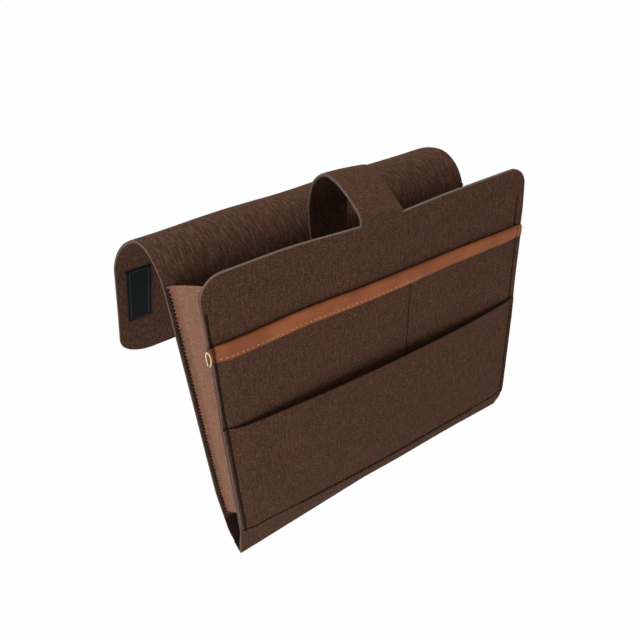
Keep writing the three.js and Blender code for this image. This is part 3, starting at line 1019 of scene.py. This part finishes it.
def raw_leather_edge(name):
    # The undyed cut edge of the leather: a narrow bright cream line.
    stops = [(0.30, "#d8bd92"), (0.55, "#f3dfb8"), (0.75, "#fbecce")]
    return finely_spotted(name, stops, spot=0.8, detail=3.0, values={"Roughness": 0.8})


def leather_suede_side(name):
    # The inner, suede side of the leather: dull sandy brown without any shine.
    stops = [(0.30, "#6e5536"), (0.55, "#8b6f4b"), (0.75, "#a0845e")]
    return finely_spotted(name, stops, spot=1.4, detail=4.0, values={"Roughness": 0.92})


def black_nylon_hook_tape(name):
    # Black nylon hook tape: rows of tiny stiff hooks, so dull, with a faint dotted glint
    # painted lighter on each hook's top.
    material, tree, shader = new_material(name)
    place = add_node(tree, "ShaderNodeTexCoord")
    # Real hooks are 1.2 mm apart in rows of 1 mm; here a cell is 1.6 mm across.
    hooks = add_node(
        tree,
        "ShaderNodeTexVoronoi",
        values={"Scale": waves_per_metre(1.6), "Randomness": 0.35},
        links={"Vector": place.outputs["UV"]},
    )
    # Each hook's top is painted a little lighter: a painted glint.
    ramp = add_node(tree, "ShaderNodeValToRGB", links={"Fac": hooks.outputs["Distance"]})
    set_ramp(ramp, [(0.10, "#1d2122"), (0.45, "#121516"), (0.80, "#0a0c0d")])
    relief = add_node(
        tree,
        "ShaderNodeBump",
        settings={"invert": True},
        values={"Strength": 0.7, "Distance": 0.5 * MM},
        links={"Height": hooks.outputs["Distance"]},
    )
    set_sockets(
        tree,
        shader,
        values={"Roughness": 0.8, "Specular IOR Level": 0.05},
        links={"Base Color": ramp.outputs["Color"], "Normal": relief.outputs["Normal"]},
    )
    return material


def twisted_thread(name, stops, roughness):
    """Sewing thread: a slight sheen, and the twist of the yarn as fine darker bands."""
    values = {"Roughness": roughness, "Specular IOR Level": 0.15}
    return finely_spotted(name, stops, spot=0.9, detail=2.0, values=values)


def dark_brown_thread(name):
    # Thick dark red-brown polyester thread: nearly black in the grooves, with little shine.
    return twisted_thread(name, shades("seam_colour", 0.6, 1.0, 1.7), roughness=0.7)


def tan_thread(name):
    # Tan polyester thread on the leather: a little lighter than the leather itself.
    return twisted_thread(name, shades("trim_colour", 0.75, 0.92, 1.12), roughness=0.6)


def charcoal_thread(name):
    # Charcoal nylon thread on the hook tape: a thin line that glints a little on the black.
    return twisted_thread(name, [(0.35, "#23282a"), (0.65, "#565c5e")], roughness=0.45)


def matt_studio_floor(name):
    # Matt pale studio floor: nearly white to the camera, with the object's shadow on it.
    material, tree, shader = new_material(name)
    set_sockets(tree, shader, values={"Base Color": colour("#e2e2e2"), "Roughness": 0.9})
    bright = add_node(
        tree, "ShaderNodeEmission", values={"Color": colour("#ffffff"), "Strength": 1.0}
    )
    mixed = add_node(
        tree,
        "ShaderNodeMixShader",
        links={
            0: seen_share(tree, 0.98),
            1: shader.outputs["BSDF"],
            2: bright.outputs["Emission"],
        },
    )
    output = tree.nodes["Material Output"]
    set_sockets(tree, output, links={"Surface": mixed.outputs["Shader"]})
    return material


def felt_and_edge():
    """The materials of a brown sheet: its faces and its cut edge."""
    return [shared(brown_wool_felt), shared(felt_cut_edge)]


# ---------------------------------------------------------------- settings and operators


def colour_property(name, description, code):
    """A colour in the panel, set to a hex code at first."""
    return bpy.props.FloatVectorProperty(
        name=name,
        description=description,
        subtype="COLOR",
        size=3,
        min=0.0,
        max=1.0,
        default=colour(code)[:3],
    )


def length_property(name, description, default, low, high):
    """A length in the panel. Its values are metres."""
    return bpy.props.FloatProperty(
        name=name,
        description=description,
        default=default,
        min=low,
        max=high,
        unit="LENGTH",
    )


class FeltCaddySettings(bpy.types.PropertyGroup):
    """Colours of the materials, and the shape of the sewn sheets where it departs from the
    flat patterns."""

    felt_colour: colour_property("Felt", "Middle tone of the brown felt", "#4b362b")
    gusset_colour: colour_property("Gusset", "Middle tone of the thin felt", "#8f6a59")
    leather_colour: colour_property("Leather", "Middle tone of the trim", "#894b29")
    seam_colour: colour_property("Seam thread", "Colour of the dark stitches", "#241812")
    trim_colour: colour_property("Trim thread", "Colour of the stitches on the trim", "#8f5634")

    panel_bulge: length_property(
        "Panel bulge",
        "How far the front panel stands out in the middle, near its bottom",
        default=0.004,
        low=0.0,
        high=0.012,
    )
    pocket_bow: length_property(
        "Pocket bow",
        "How far the mouth of the lower pocket stands off the upper pocket",
        default=0.0075,
        low=0.0,
        high=0.012,
    )
    strap_sag: length_property(
        "Strap sag",
        "How much lower the right side of the strap hangs than its left side",
        default=0.0065,
        low=0.0,
        high=0.012,
    )
    felt_relief: length_property(
        "Felt relief",
        "Height of the slow waves in the back and the flap",
        default=0.0006,
        low=0.0,
        high=0.002,
    )
    seam_pitch: length_property(
        "Seam pitch",
        "Length of one stitch of the dark seams",
        default=0.0045,
        low=0.002,
        high=0.008,
    )
    trim_pitch: length_property(
        "Trim pitch",
        "Length of one stitch of the seam on the leather",
        default=0.0045,
        low=0.002,
        high=0.008,
    )


class CADDY_OT_main_sheet(bpy.types.Operator):
    """Build the one felt sheet of the back, the arch and the rear flap"""

    bl_idname = "caddy.main_sheet"
    bl_label = "Back and Flap"

    def execute(self, context):
        low, high = edge_lines(-HALF_WIDTH, HALF_WIDTH)
        at_flap_end, _ = edge_lines(-FLAP_LINE.length, BUTT)
        grid = cut_grid(
            HALF_WIDTH,
            spread(low + high, step=5.0),
            spread(at_flap_end + [-150.0, 60.0, BUTT], step=4.0),
            corner=FLAP_CORNER,
            corner_at="low",
            keep=60.0,
        )
        piece = slab(
            "main_sheet",
            main_surface(settings_of(context)),
            grid,
            FELT,
            [shared(brown_wool_felt_combed), shared(felt_cut_edge)],
            butt=("high",),
            # Inside the bottom fold the inner face is painted in shade.
            dark=shared(felt_packed_by_seam),
            dark_under=grid[1] > GUSSET_REAR[1] + 3.0,
        )
        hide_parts("back_panel", "rear_flap")
        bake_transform(piece)
        return {"FINISHED"}


class CADDY_OT_front_sheet(bpy.types.Operator):
    """Build the felt front panel with the crease of the bottom fold"""

    bl_idname = "caddy.front_sheet"
    bl_label = "Front Panel"

    def execute(self, context):
        length = FOLD_LENGTH - BUTT
        low, high = edge_lines(-HALF_WIDTH, HALF_WIDTH)
        strap_edges = [STRAP_MIDDLE - STRAP_HALF, STRAP_MIDDLE + STRAP_HALF]
        by_seams = lines_about(SEAM_LEFT) + strap_edges + lines_about(SEAM_RIGHT)
        xs = spread(low[:2] + by_seams + high, step=5.0)
        # The rows lie close together round the crease.
        at_top, _ = edge_lines(0.0, length)
        crease = length - 14.0
        ss = spread(at_top + [FRONT_STRAIGHT, crease - 5.0], step=4.0)
        ss += spread([crease - 4.0, crease + 3.0], step=0.5)
        ss += spread([crease + 4.5, length], step=3.0)
        grid = cut_grid(HALF_WIDTH, xs, ss, corner=FRONT_CORNER, corner_at="low", keep=110.0)
        x, v, _ = grid
        sewn = ease(v, SEAM_START - 3, SEAM_START + 3) * fade(v, 274.0, 284.0)
        squeeze = FELT / 2 * pressed_at(x, v)
        piece = slab(
            "front_sheet",
            front_surface(settings_of(context)),
            grid,
            FELT,
            felt_and_edge(),
            press_top=squeeze,
            press_under=squeeze + seam_press(x, depth=1.1) * sewn,
            butt=("high", "strap"),
            # Inside the bottom fold the inner face is painted in shade, and in the side seams
            # the outer face is packed felt with the groove's shade painted in.
            dark=shared(felt_packed_by_seam),
            dark_top=v > GUSSET_FRONT[1] + 6.0,
            dark_under=in_side_seam(x) & (sewn > 0.5),
        )
        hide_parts("front_panel")
        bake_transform(piece)
        return {"FINISHED"}


class CADDY_OT_upper_pocket(bpy.types.Operator):
    """Build the flat upper pocket"""

    bl_idname = "caddy.upper_pocket"
    bl_label = "Upper Pocket"

    def execute(self, context):
        low, high = edge_lines(-HALF_WIDTH, UPPER_POCKET_END)
        by_seams = lines_about(SEAM_LEFT) + lines_about(DIVIDER_X) + lines_about(SEAM_RIGHT)
        xs = spread(low[:2] + by_seams + high, step=5.0)
        # The sheet starts inside the fold of the leather.
        top = TRIM_TOP + 1.6
        at_top, at_bottom = edge_lines(top, POCKET_BOTTOM)
        ss = spread(at_top + at_bottom, step=4.0)
        grid = cut_grid(HALF_WIDTH, xs, ss, corner=3.0, corner_at="high", keep=150.0)
        x, v, _ = grid
        below_trim = ease(v, TRIM_BOTTOM - 2, TRIM_BOTTOM)
        above_foot = fade(v, DIVIDER_FOOT - 1.0, DIVIDER_FOOT + 3.0)
        by_divider = groove(x - DIVIDER_X, depth=1.3, width=1.1) * above_foot * below_trim
        squeeze = POCKET_FELT / 2 * pressed_at(x, v)
        in_divider = (np.abs(x - DIVIDER_X) < 0.45) & (v > TRIM_BOTTOM) & (v < DIVIDER_FOOT)
        piece = slab(
            "upper_pocket_sheet",
            upper_pocket_surface(settings_of(context)),
            grid,
            POCKET_FELT,
            felt_and_edge(),
            press_top=squeeze,
            press_under=squeeze + np.maximum(seam_press(x, depth=1.0), by_divider),
            # In the side seams and the divider seam the outer face is packed felt with the
            # groove's shade painted in.
            dark=shared(felt_packed_by_seam),
            dark_under=in_side_seam(x) | in_divider,
        )
        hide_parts("upper_pocket")
        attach(piece, "front")
        return {"FINISHED"}


class CADDY_OT_lower_pocket(bpy.types.Operator):
    """Build the lower pocket, bowed out at its mouth"""

    bl_idname = "caddy.lower_pocket"
    bl_label = "Lower Pocket"

    def execute(self, context):
        low, high = edge_lines(-HALF_WIDTH, LOWER_POCKET_END)
        by_seams = lines_about(SEAM_LEFT) + lines_about(SEAM_RIGHT)
        xs = spread(low[:2] + by_seams + high, step=5.0)
        at_mouth, at_bottom = edge_lines(LOWER_POCKET_TOP, POCKET_BOTTOM)
        ss = spread(at_mouth + lines_about(POCKET_SEAM)[:-2] + at_bottom[1:], step=4.0)
        grid = cut_grid(HALF_WIDTH, xs, ss, corner=4.0, corner_at="high", keep=150.0)
        x, v, _ = grid
        by_bottom_seam = groove(v - POCKET_SEAM, depth=1.3, width=1.0)
        squeeze = POCKET_FELT / 2 * pressed_at(x, v)
        piece = slab(
            "lower_pocket_sheet",
            lower_pocket_surface(settings_of(context)),
            grid,
            POCKET_FELT,
            felt_and_edge(),
            press_top=squeeze,
            press_under=squeeze + np.maximum(seam_press(x, depth=1.1), by_bottom_seam),
            # In the seams the outer face is packed felt with the groove's shade painted in, and
            # the mouth's cut edge is painted in shade.
            dark=shared(felt_packed_by_seam),
            dark_under=in_side_seam(x) | (np.abs(v - POCKET_SEAM) < SEAM_SHADE_REACH),
            dark_start=True,
        )
        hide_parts("lower_pocket")
        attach(piece, "front")
        return {"FINISHED"}


def trim_narrowing(x):
    """How much higher the lower edge of the trim lies towards the right."""
    return 2.2 * ease(x, 0.0, 80.0)


def trim_section(x, share):
    """Distance out and distance down of the leather's middle, at a share from its inner lower
    edge over the fold to its outer lower edge."""
    at_left_end = ease(-x, 0.8 - SEAM_LEFT, 5.2 - SEAM_LEFT)
    sewn = np.where(x > SEAM_RIGHT, 1.0, hill(inside_seams(x), 2.2))
    middle = (TRIM_INNER_OUT + TRIM_OUTER_OUT) / 2
    half_gap = (TRIM_OUTER_OUT - TRIM_INNER_OUT) / 2
    # The strip is a little narrower towards the right.
    top = TRIM_TOP + 1.2 * ease(x, 60.0, 150.0)
    leg = TRIM_BOTTOM - trim_narrowing(x) - top - half_gap - LEATHER / 2
    arc = math.pi * half_gap
    along = share * (2 * leg + arc)
    angle = np.clip((along - leg) / half_gap, 0.0, math.pi)
    down_leg = np.clip(along - leg - arc, 0.0, None)
    up_leg = np.clip(leg - along, 0.0, None)
    out = middle - half_gap * np.cos(angle)
    down = top + half_gap - half_gap * np.sin(angle) + down_leg + up_leg + LEATHER / 2
    # Past the seam the unsewn leather springs open into a loop that closes at its foot.
    height = np.clip((down - TRIM_TOP) / (TRIM_BOTTOM - TRIM_TOP), 0.0, 1.0)
    belly = np.sin(np.pi * height**0.75) ** 0.8
    side = np.sign(share - 0.5)
    opened = side * (3.3 * belly - 0.5 * ease(height, 0.6, 1.0)) * at_left_end
    # The loop stands upright, so its top leans further out than the panel.
    leans = (1.8 + 3.4 * (1.0 - height)) * at_left_end
    # Where it is sewn down the two legs come together and the fold drops.
    closed = -side * np.where(x < 0, 0.8, 0.3) * sewn * ease(height, 0.0, 0.3)
    pillow = side * 0.35 * np.sin(np.pi * height) * (1.0 - at_left_end) * (1.0 - sewn)
    out = out + opened + leans + closed + np.where(share > 0.5, pillow, 0.0)
    down = down + np.where(x < 0, 1.0, 0.3) * sewn * (1.0 - height)
    return out, down


class CADDY_OT_leather_trim(bpy.types.Operator):
    """Build the leather folded over the mouth of the upper pocket"""

    bl_idname = "caddy.leather_trim"
    bl_label = "Leather Trim"

    def execute(self, context):
        settings = settings_of(context)
        low, high = edge_lines(TRIM_LEFT_END, TRIM_RIGHT_END)
        xs = spread(low[:3] + [-166.0, -164.6] + lines_about(SEAM_LEFT)[1:], step=1.0)
        inner_lines = [SEAM_LEFT + 3.4] + lines_about(SEAM_RIGHT)[:-1]
        xs += spread(inner_lines + high[:1] + high[2:], step=4.0)
        # The rows lie close together round the fold and by the row of stitches.
        shares = list(np.linspace(0.0, 0.30, 9)) + list(np.linspace(0.33, 0.67, 18))
        shares += list(np.linspace(0.70, 0.88, 8))
        shares += [0.90, 0.915, 0.93, 0.945, 0.97, 0.985, 1.0]
        x, share = np.meshgrid(np.array(sorted(set(xs))), np.array(shares))

        def surface(x, share):
            out, down = trim_section(x, share)
            # The inner side of the loop reaches a little further out to the left.
            reach = ease(-x, 1.0 - SEAM_LEFT, 6.0 - SEAM_LEFT) * fade(share, 0.3, 0.7)
            return sewn_layer(x - reach, down, out, settings, left_angle=10.0, right_angle=12.0)

        inset = np.minimum(side_gap_of(x), np.minimum(share, 1 - share) * TRIM_AROUND)
        by_stitches = groove((share - 0.922) * TRIM_AROUND, depth=0.3, width=0.8)
        # The leather is painted in shade from a little inside a side seam to a little outside
        # it.
        inside = inside_seams(x)
        in_left_seam = (x < 0) & (inside < 1.1) & (inside > -4.3)
        in_right_seam = (x >= 0) & (inside < 0.5) & (inside > -0.5)
        piece = slab(
            "leather_trim_strip",
            surface,
            (x, share, inset),
            LEATHER,
            [shared(leather_suede_side), shared(tan_smooth_leather), shared(raw_leather_edge)],
            press_under=by_stitches + seam_press(x, depth=0.25),
            dark=shared(leather_in_seam),
            dark_under=(share > 0.5) & (in_left_seam | in_right_seam),
        )
        # The long edges are dyed like the face; only the ends show raw.
        for polygon in piece.data.polygons:
            off_ends = TRIM_LEFT_END + 0.6 < polygon.center.x / MM < TRIM_RIGHT_END - 0.5
            if polygon.material_index == 2 and off_ends:
                polygon.material_index = 1
        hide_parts("leather_trim")
        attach(piece, "front")
        return {"FINISHED"}


def gusset_section():
    """The section of a gusset from its rear edge to its front edge. Each row holds X, the
    standoff from the rear flange, the share of the way forward and the standoff in front."""
    web, fold, bend = 157.6, 159.5, 1.9
    rows = [(x, 0.0, 0.0, 0.0) for x in np.linspace(162.2, fold, 6)]
    turns = [math.radians(angle) for angle in np.linspace(15.0, 75.0, 5)]
    for a in turns:
        rows.append((fold - bend * math.sin(a), bend * (1 - math.cos(a)), 0.0, 0.0))
    for share in np.linspace(0.0, 1.0, 22):
        rows.append((web, bend * (1 - share), share, bend * share))
    for a in reversed(turns):
        rows.append((fold - bend * math.sin(a), 0.0, 1.0, bend * (1 - math.cos(a))))
    rows.extend((x, 0.0, 1.0, 0.0) for x in np.linspace(fold, 165.8, 8))
    return np.array(rows)


def gusset_surface(side, section, settings):
    index = np.arange(len(section), dtype=float)
    scallops = 58.0

    def place(k, t):
        x, rear_gap, share, front_gap = (np.interp(k, index, column) for column in section.T)
        bow = np.sin(np.pi * share) * (1.4 + 0.8 * np.sin(6.0 * t))
        scallop = 0.35 * np.cos(math.tau * t * scallops) * (k < 1.0)
        x = side * (x - bow + scallop)
        # The front flange stops a little above the bottom of the web.
        flange = np.clip((np.abs(x) - 158.0) / 7.0, 0.0, 1.0) * (share >= 1.0)
        lower_top = 9.0 if side == 1 else 0.0
        v = GUSSET_FRONT[0] + (GUSSET_FRONT[1] - GUSSET_FRONT[0] - 13.0 * flange) * t
        v = v + lower_top * (1.0 - t)
        s = GUSSET_REAR[0] + (GUSSET_REAR[1] - GUSSET_REAR[0]) * t + lower_top * (1.0 - t)
        rear = fold_place(x, s, -(GUSSET_OFF + rear_gap))
        spread_out = 6.0 + 20.0 * ease(v, 50.0, 80.0) * fade(v, 130.0, 210.0)
        out = -(GUSSET_OFF + front_gap)
        front = sewn_layer(x, v, out, settings, left_turn(v) - spread_out, right_angle=8.0)
        return rear + (front - rear) * share[..., None]

    return place


class CADDY_OT_gussets(bpy.types.Operator):
    """Build the two thin gussets between the panels"""

    bl_idname = "caddy.gussets"
    bl_label = "Gussets"

    def execute(self, context):
        settings = settings_of(context)
        section = gusset_section()
        last = len(section) - 1
        # t runs from the top of a gusset to its foot and k across it, by rows of its section.
        height, row_step = 262.0, 0.6
        ts = spread([0.0, 0.0015, 0.004, 0.996, 0.9985, 1.0], step=0.0043)
        t, k = np.meshgrid(np.array(ts), np.arange(last + 1.0), indexing="ij")
        inset = np.minimum(np.minimum(k, last - k) * row_step, np.minimum(t, 1 - t) * height)
        for side, word in ((-1, "left"), (1, "right")):
            piece = slab(
                f"{word}_gusset_sheet",
                gusset_surface(side, section, settings),
                (k, t, inset),
                GUSSET_FELT,
                [shared(pink_brown_thin_felt), shared(thin_felt_cut_edge)],
            )
            if side == 1:
                piece.data.flip_normals()
            # The front flange's edge is the only one that shows its cut side.
            for polygon in piece.data.polygons:
                if polygon.material_index == 1 and abs(polygon.center.x) < 164.6 * MM:
                    polygon.material_index = 0
            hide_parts(f"{word}_gusset")
            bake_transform(piece)
        return {"FINISHED"}


class CADDY_OT_strap(bpy.types.Operator):
    """Build the closing strap, its tab and the tab's hook patch"""

    bl_idname = "caddy.strap"
    bl_label = "Closing Strap"

    def execute(self, context):
        low, high = edge_lines(-STRAP_HALF, STRAP_HALF)
        xs = spread(low + high, step=3.0)
        ss = spread([0.0, 0.6, 1.4, 2.5, 5.0, STRAP_LINE.length], step=2.0)
        x, s, inset = cut_grid(STRAP_HALF, xs, ss)
        strap = slab(
            "strap_arch",
            strap_surface(settings_of(context)),
            (x + STRAP_MIDDLE, s, inset),
            FELT,
            felt_and_edge(),
            butt=("low", "high"),
        )
        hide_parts("closure_strap")
        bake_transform(strap)

        def tab_surface(x, s):
            return stacked(x, TAB_TOP[0], TAB_TOP[1] - s)

        at_top, _ = edge_lines(0.0, TAB_LENGTH)
        ss = spread(at_top + [TAB_LENGTH], step=2.0)
        x, s, inset = cut_grid(STRAP_HALF, xs, ss, corner=9.0, corner_at="high", keep=8.0)
        tab = slab(
            "strap_tab_sheet",
            tab_surface,
            (x + STRAP_MIDDLE, s, inset),
            FELT,
            felt_and_edge(),
            butt=("low",),
        )
        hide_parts("strap_tab")
        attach(tab, "strap_tab")

        def patch_surface(x, s):
            return stacked(x, TAB_TOP[0] + HOOK_OFF, TAB_TOP[1] - s)

        margin = 4.0
        half = STRAP_HALF - margin
        low, high = edge_lines(-half, half)
        at_top, at_bottom = edge_lines(margin, TAB_LENGTH - margin)
        xs, ss = spread(low + high, step=3.0), spread(at_top + at_bottom, step=3.0)
        x, s, inset = cut_grid(half, xs, ss)
        patch = slab(
            "strap_patch_tape",
            patch_surface,
            (x + STRAP_MIDDLE, s, inset),
            HOOK_TAPE,
            [shared(black_nylon_hook_tape)] * 2,
        )
        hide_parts("strap_hook_patch")
        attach(patch, "strap_tab")
        return {"FINISHED"}


class CADDY_OT_hook_patches(bpy.types.Operator):
    """Build the two hook patches sewn to the inner face of the flap"""

    bl_idname = "caddy.hook_patches"
    bl_label = "Hook Patches"

    def execute(self, context):
        base = main_surface(settings_of(context))
        random = np.random.default_rng(8)
        half = HOOK_PATCH_HALF
        # The patches start 2 mm below the last bend of the flap. Their stitches run round
        # them at an inlay from the edge, and turn the corners aslant.
        start = -(FLAP_LINE.length - FLAP_STRAIGHT + 2.0)
        end = start - HOOK_PATCH_LENGTH
        inlay, turn = 3.4, 2.5

        def surface(x, s):
            return base(x, s) + surface_normals(base, x, s) * HOOK_OFF

        def by_stitches(centre):
            return [centre + offset for offset in (-0.8, -0.3, 0.3, 0.8)]

        low, high = edge_lines(-half, half)
        at_end, at_start = edge_lines(end, start)
        left = by_stitches(-half + inlay)
        xs = spread(low[:3] + left + [-x for x in reversed(left)] + high[1:], step=2.5)
        rows = by_stitches(end + inlay) + by_stitches(start - inlay)
        ss = spread(at_end[:3] + rows + at_start[1:], step=2.5)
        x, s, inset = cut_grid(half, xs, ss)
        along_edge = np.minimum(start - s, s - start + HOOK_PATCH_LENGTH)
        near_edge = np.minimum(half - np.abs(x), along_edge)
        for side, word in ((-1, "left"), (1, "right")):
            middle = side * (HALF_WIDTH - 11.5 - half)
            piece = slab(
                f"{word}_hook_tape",
                surface,
                (x + middle, s, inset),
                HOOK_TAPE,
                [shared(black_nylon_hook_tape)] * 2,
                press_top=groove(near_edge - inlay, depth=0.35, width=0.7),
            )
            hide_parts(f"{word}_hook_patch")
            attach(piece, "flap")

            near, far = middle - half + inlay, middle + half - inlay
            top, foot = start - inlay, end + inlay
            corners = [
                (near + turn, top),
                (far - turn, top),
                (far, top - turn),
                (far, foot + turn),
                (far - turn, foot),
                (near + turn, foot),
                (near, foot + turn),
                (near, top - turn),
                (near + turn, top),
            ]
            runs = []
            for first, second in zip(corners[:-1], corners[1:]):
                runs += running_stitches(
                    surface,
                    first,
                    second,
                    pitch=3.2,
                    depth=-HOOK_TAPE / 2 + 0.5,
                    lift=HOOK_TAPE / 2,
                    random=random,
                )
            stitches = thread_object(
                f"{word}_tape_stitches", runs, radius=0.3, material=shared(charcoal_thread)
            )
            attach(stitches, "flap")
        return {"FINISHED"}


def overcast_runs(side):
    """Threads of a gusset's overcast rear edge: a cord lies along it, and each stitch loops
    over it on to the back panel."""
    count = 66
    span = GUSSET_REAR[1] - GUSSET_REAR[0]
    cord = np.linspace(0.002, 0.998, 230)
    cord_x = side * (162.5 + 0.25 * np.cos(math.tau * cord * count))
    runs = [fold_place(cord_x, GUSSET_REAR[0] + span * cord, -FELT / 2 - 1.3)]
    shares = np.linspace(0.0, 1.0, 8)
    rise = np.sin(np.pi * np.clip(0.08 + shares, 0.0, 1.0)) ** 0.6
    height = FELT / 2 + (GUSSET_FELT + LAYER_GAP) * rise
    for i in range(count):
        t = (i + 0.5 + (shares - 0.5) * 0.7) / count
        x = side * (163.4 - 2.5 * shares)
        runs.append(fold_place(x, GUSSET_REAR[0] + span * t, -height))
    return runs


class CADDY_OT_stitching(bpy.types.Operator):
    """Sew the seams: each stitch is a thread of its own"""

    bl_idname = "caddy.stitching"
    bl_label = "Stitching"

    def execute(self, context):
        settings = settings_of(context)
        random = np.random.default_rng(5)
        pitch = settings.seam_pitch / MM

        def face_of(surface, thickness):
            """The outer face of a layer, pressed as its sheet is."""

            def place(x, v):
                depth = thickness / 2 * (1.0 - pressed_at(x, v))
                return surface(x, v) - surface_normals(surface, x, v) * depth[..., None]

            return place

        def trim_layer(x, v):
            return sewn_layer(x, v, TRIM_OUTER_OUT, settings, left_angle=0.0, right_angle=0.0)

        front_face = face_of(front_surface(settings), FELT)
        upper_face = face_of(upper_pocket_surface(settings), POCKET_FELT)
        trim_face = face_of(trim_layer, LEATHER)
        lower_face = face_of(lower_pocket_surface(settings), POCKET_FELT)

        def seam(surface, from_point, to_point, sunk):
            """Stitches of a dark seam. The normals of these surfaces point into the felt, so
            sunk is how far the middle of a stitch lies below the face."""
            return running_stitches(surface, from_point, to_point, pitch, -0.8, sunk, random)

        def sew(name, runs, radius, make, seam_name):
            piece = thread_object(name, runs, radius, shared(make))
            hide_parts(seam_name)
            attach(piece, "front")

        # Each part of a side seam: its face, its ends and how deep its groove is.
        levels = [
            (front_face, SEAM_START, TRIM_TOP - 1.0, 0.9),
            (trim_face, TRIM_TOP + 1.5, TRIM_BOTTOM, 0.9),
            (upper_face, TRIM_BOTTOM + 1.0, LOWER_POCKET_TOP - 1.0, 1.0),
            (lower_face, LOWER_POCKET_TOP + 1.0, POCKET_SEAM, 1.1),
        ]
        for x, word in ((SEAM_LEFT, "left"), (SEAM_RIGHT, "right")):
            runs = []
            for surface, start, end, depth in levels:
                runs += seam(surface, (x, start), (x, end), depth - 0.2)
            name = f"{word}_side_stitches"
            sew(name, runs, 0.55, dark_brown_thread, f"{word}_front_seam")

        start, end = SEAM_LEFT + 2.0, SEAM_RIGHT - 2.0
        runs = seam(lower_face, (start, POCKET_SEAM), (end, POCKET_SEAM), 1.0)
        name = "bottom_stitches"
        sew(name, runs, 0.55, dark_brown_thread, "lower_pocket_seam")

        top, foot = (DIVIDER_X, TRIM_BOTTOM + 1), (DIVIDER_X, DIVIDER_FOOT)
        runs = seam(upper_face, top, foot, 1.0)
        sew("divider_stitches", runs, 0.5, dark_brown_thread, "divider_seam")

        def trim_row(x, v):
            return trim_face(x, v - trim_narrowing(x))

        row = TRIM_BOTTOM - 2.6
        runs = running_stitches(
            trim_row,
            (start, row),
            (end, row),
            pitch=settings.trim_pitch / MM,
            depth=-0.4,
            lift=0.1,
            random=random,
        )
        sew("trim_stitches", runs, 0.27, tan_thread, "trim_seam")

        for side, word in ((-1, "left"), (1, "right")):
            piece = thread_object(
                f"{word}_overcast_stitches",
                overcast_runs(side),
                radius=1.2,
                material=shared(dark_brown_thread),
            )
            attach(piece, "root")
        return {"FINISHED"}


class CADDY_OT_stage(bpy.types.Operator):
    """Set up the floor, the soft lights, the world and the camera"""

    bl_idname = "caddy.stage"
    bl_label = "Stage"

    def execute(self, context):
        scene = context.scene
        scene.view_settings.view_transform = "Standard"

        reach, floor_height = 40000.0, -560.0
        corners = [(-reach, -reach), (reach, -reach), (reach, reach), (-reach, reach)]
        verts = [(x, y, floor_height) for x, y in corners]
        material = shared(matt_studio_floor)
        floor = link_object("studio_floor", verts, [(0, 1, 2, 3)], [0], [material])

        def area_light(name, place, target, size, power):
            data = bpy.data.lights.new(name, "AREA")
            data.shape = "SQUARE"
            data.size = size
            data.energy = power
            lamp = bpy.data.objects.new(name, data)
            lamp.location = place
            forward = Vector(target) - Vector(place)
            lamp.rotation_mode = "QUATERNION"
            lamp.rotation_quaternion = forward.to_track_quat("-Z", "Y")
            scene.collection.objects.link(lamp)

        # Places, sizes and targets of the lamps and the camera are in metres.
        area_light("top_softbox", (-0.3, 0.2, 1.9), (0.0, 0.05, 0.0), size=1.6, power=29.0)
        area_light("front_softbox", (-1.0, -1.1, -0.4), (0.0, 0.0, -0.05), size=1.3, power=16.0)

        world = bpy.data.worlds.new("studio_white")
        world.use_nodes = True
        tree = world.node_tree
        tree.nodes.clear()
        # The first lights the caddy, and the second is what the camera sees.
        soft, white = (
            add_node(
                tree,
                "ShaderNodeBackground",
                values={"Color": colour("#ffffff"), "Strength": strength},
            )
            for strength in (0.51, 1.0)
        )
        mixed = add_node(
            tree,
            "ShaderNodeMixShader",
            links={
                0: seen_share(tree, 1.0),
                1: soft.outputs["Background"],
                2: white.outputs["Background"],
            },
        )
        add_node(tree, "ShaderNodeOutputWorld", links={"Surface": mixed.outputs["Shader"]})
        scene.world = world

        data = bpy.data.cameras.new("photo_camera")
        data.sensor_width = 36.0
        data.lens = 38.05
        data.dof.use_dof = False
        camera = bpy.data.objects.new("photo_camera", data)
        right = (0.83651388, -0.53623537, -0.11280017)
        up = (0.35158108, 0.36736885, 0.86111079)
        back = (-0.42027999, -0.75998953, 0.49583936)
        place = (-0.300868, -0.506361, 0.362864)
        camera.matrix_world = Matrix([*zip(right, up, back, place), (0.0, 0.0, 0.0, 1.0)])
        scene.collection.objects.link(camera)
        scene.camera = camera
        return {"FINISHED"}


class CADDY_PT_build(bpy.types.Panel):
    """Steps of the build, in order"""

    bl_idname = "CADDY_PT_build"
    bl_label = "Felt Bedside Caddy"
    bl_space_type = "VIEW_3D"
    bl_region_type = "UI"
    bl_category = "Caddy"

    def draw(self, context):
        layout = self.layout
        for name in FeltCaddySettings.__annotations__:
            layout.prop(settings_of(context), name)
        for operator in OPERATORS:
            layout.operator(operator.bl_idname)


OPERATORS = (
    CADDY_OT_main_sheet,
    CADDY_OT_front_sheet,
    CADDY_OT_upper_pocket,
    CADDY_OT_lower_pocket,
    CADDY_OT_leather_trim,
    CADDY_OT_gussets,
    CADDY_OT_strap,
    CADDY_OT_hook_patches,
    CADDY_OT_stitching,
    CADDY_OT_stage,
)
CLASSES = (FeltCaddySettings, *OPERATORS, CADDY_PT_build)


def register():
    for cls in CLASSES:
        bpy.utils.register_class(cls)
    bpy.types.Scene.felt_caddy = bpy.props.PointerProperty(type=FeltCaddySettings)


def unregister():
    del bpy.types.Scene.felt_caddy
    for cls in reversed(CLASSES):
        bpy.utils.unregister_class(cls)


def main():
    register()
    bpy.ops.caddy.main_sheet()
    bpy.ops.caddy.front_sheet()
    bpy.ops.caddy.upper_pocket()
    bpy.ops.caddy.lower_pocket()
    bpy.ops.caddy.leather_trim()
    bpy.ops.caddy.gussets()
    bpy.ops.caddy.strap()
    bpy.ops.caddy.hook_patches()
    bpy.ops.caddy.stitching()
    bpy.ops.caddy.stage()


if __name__ == "__main__":
    main()
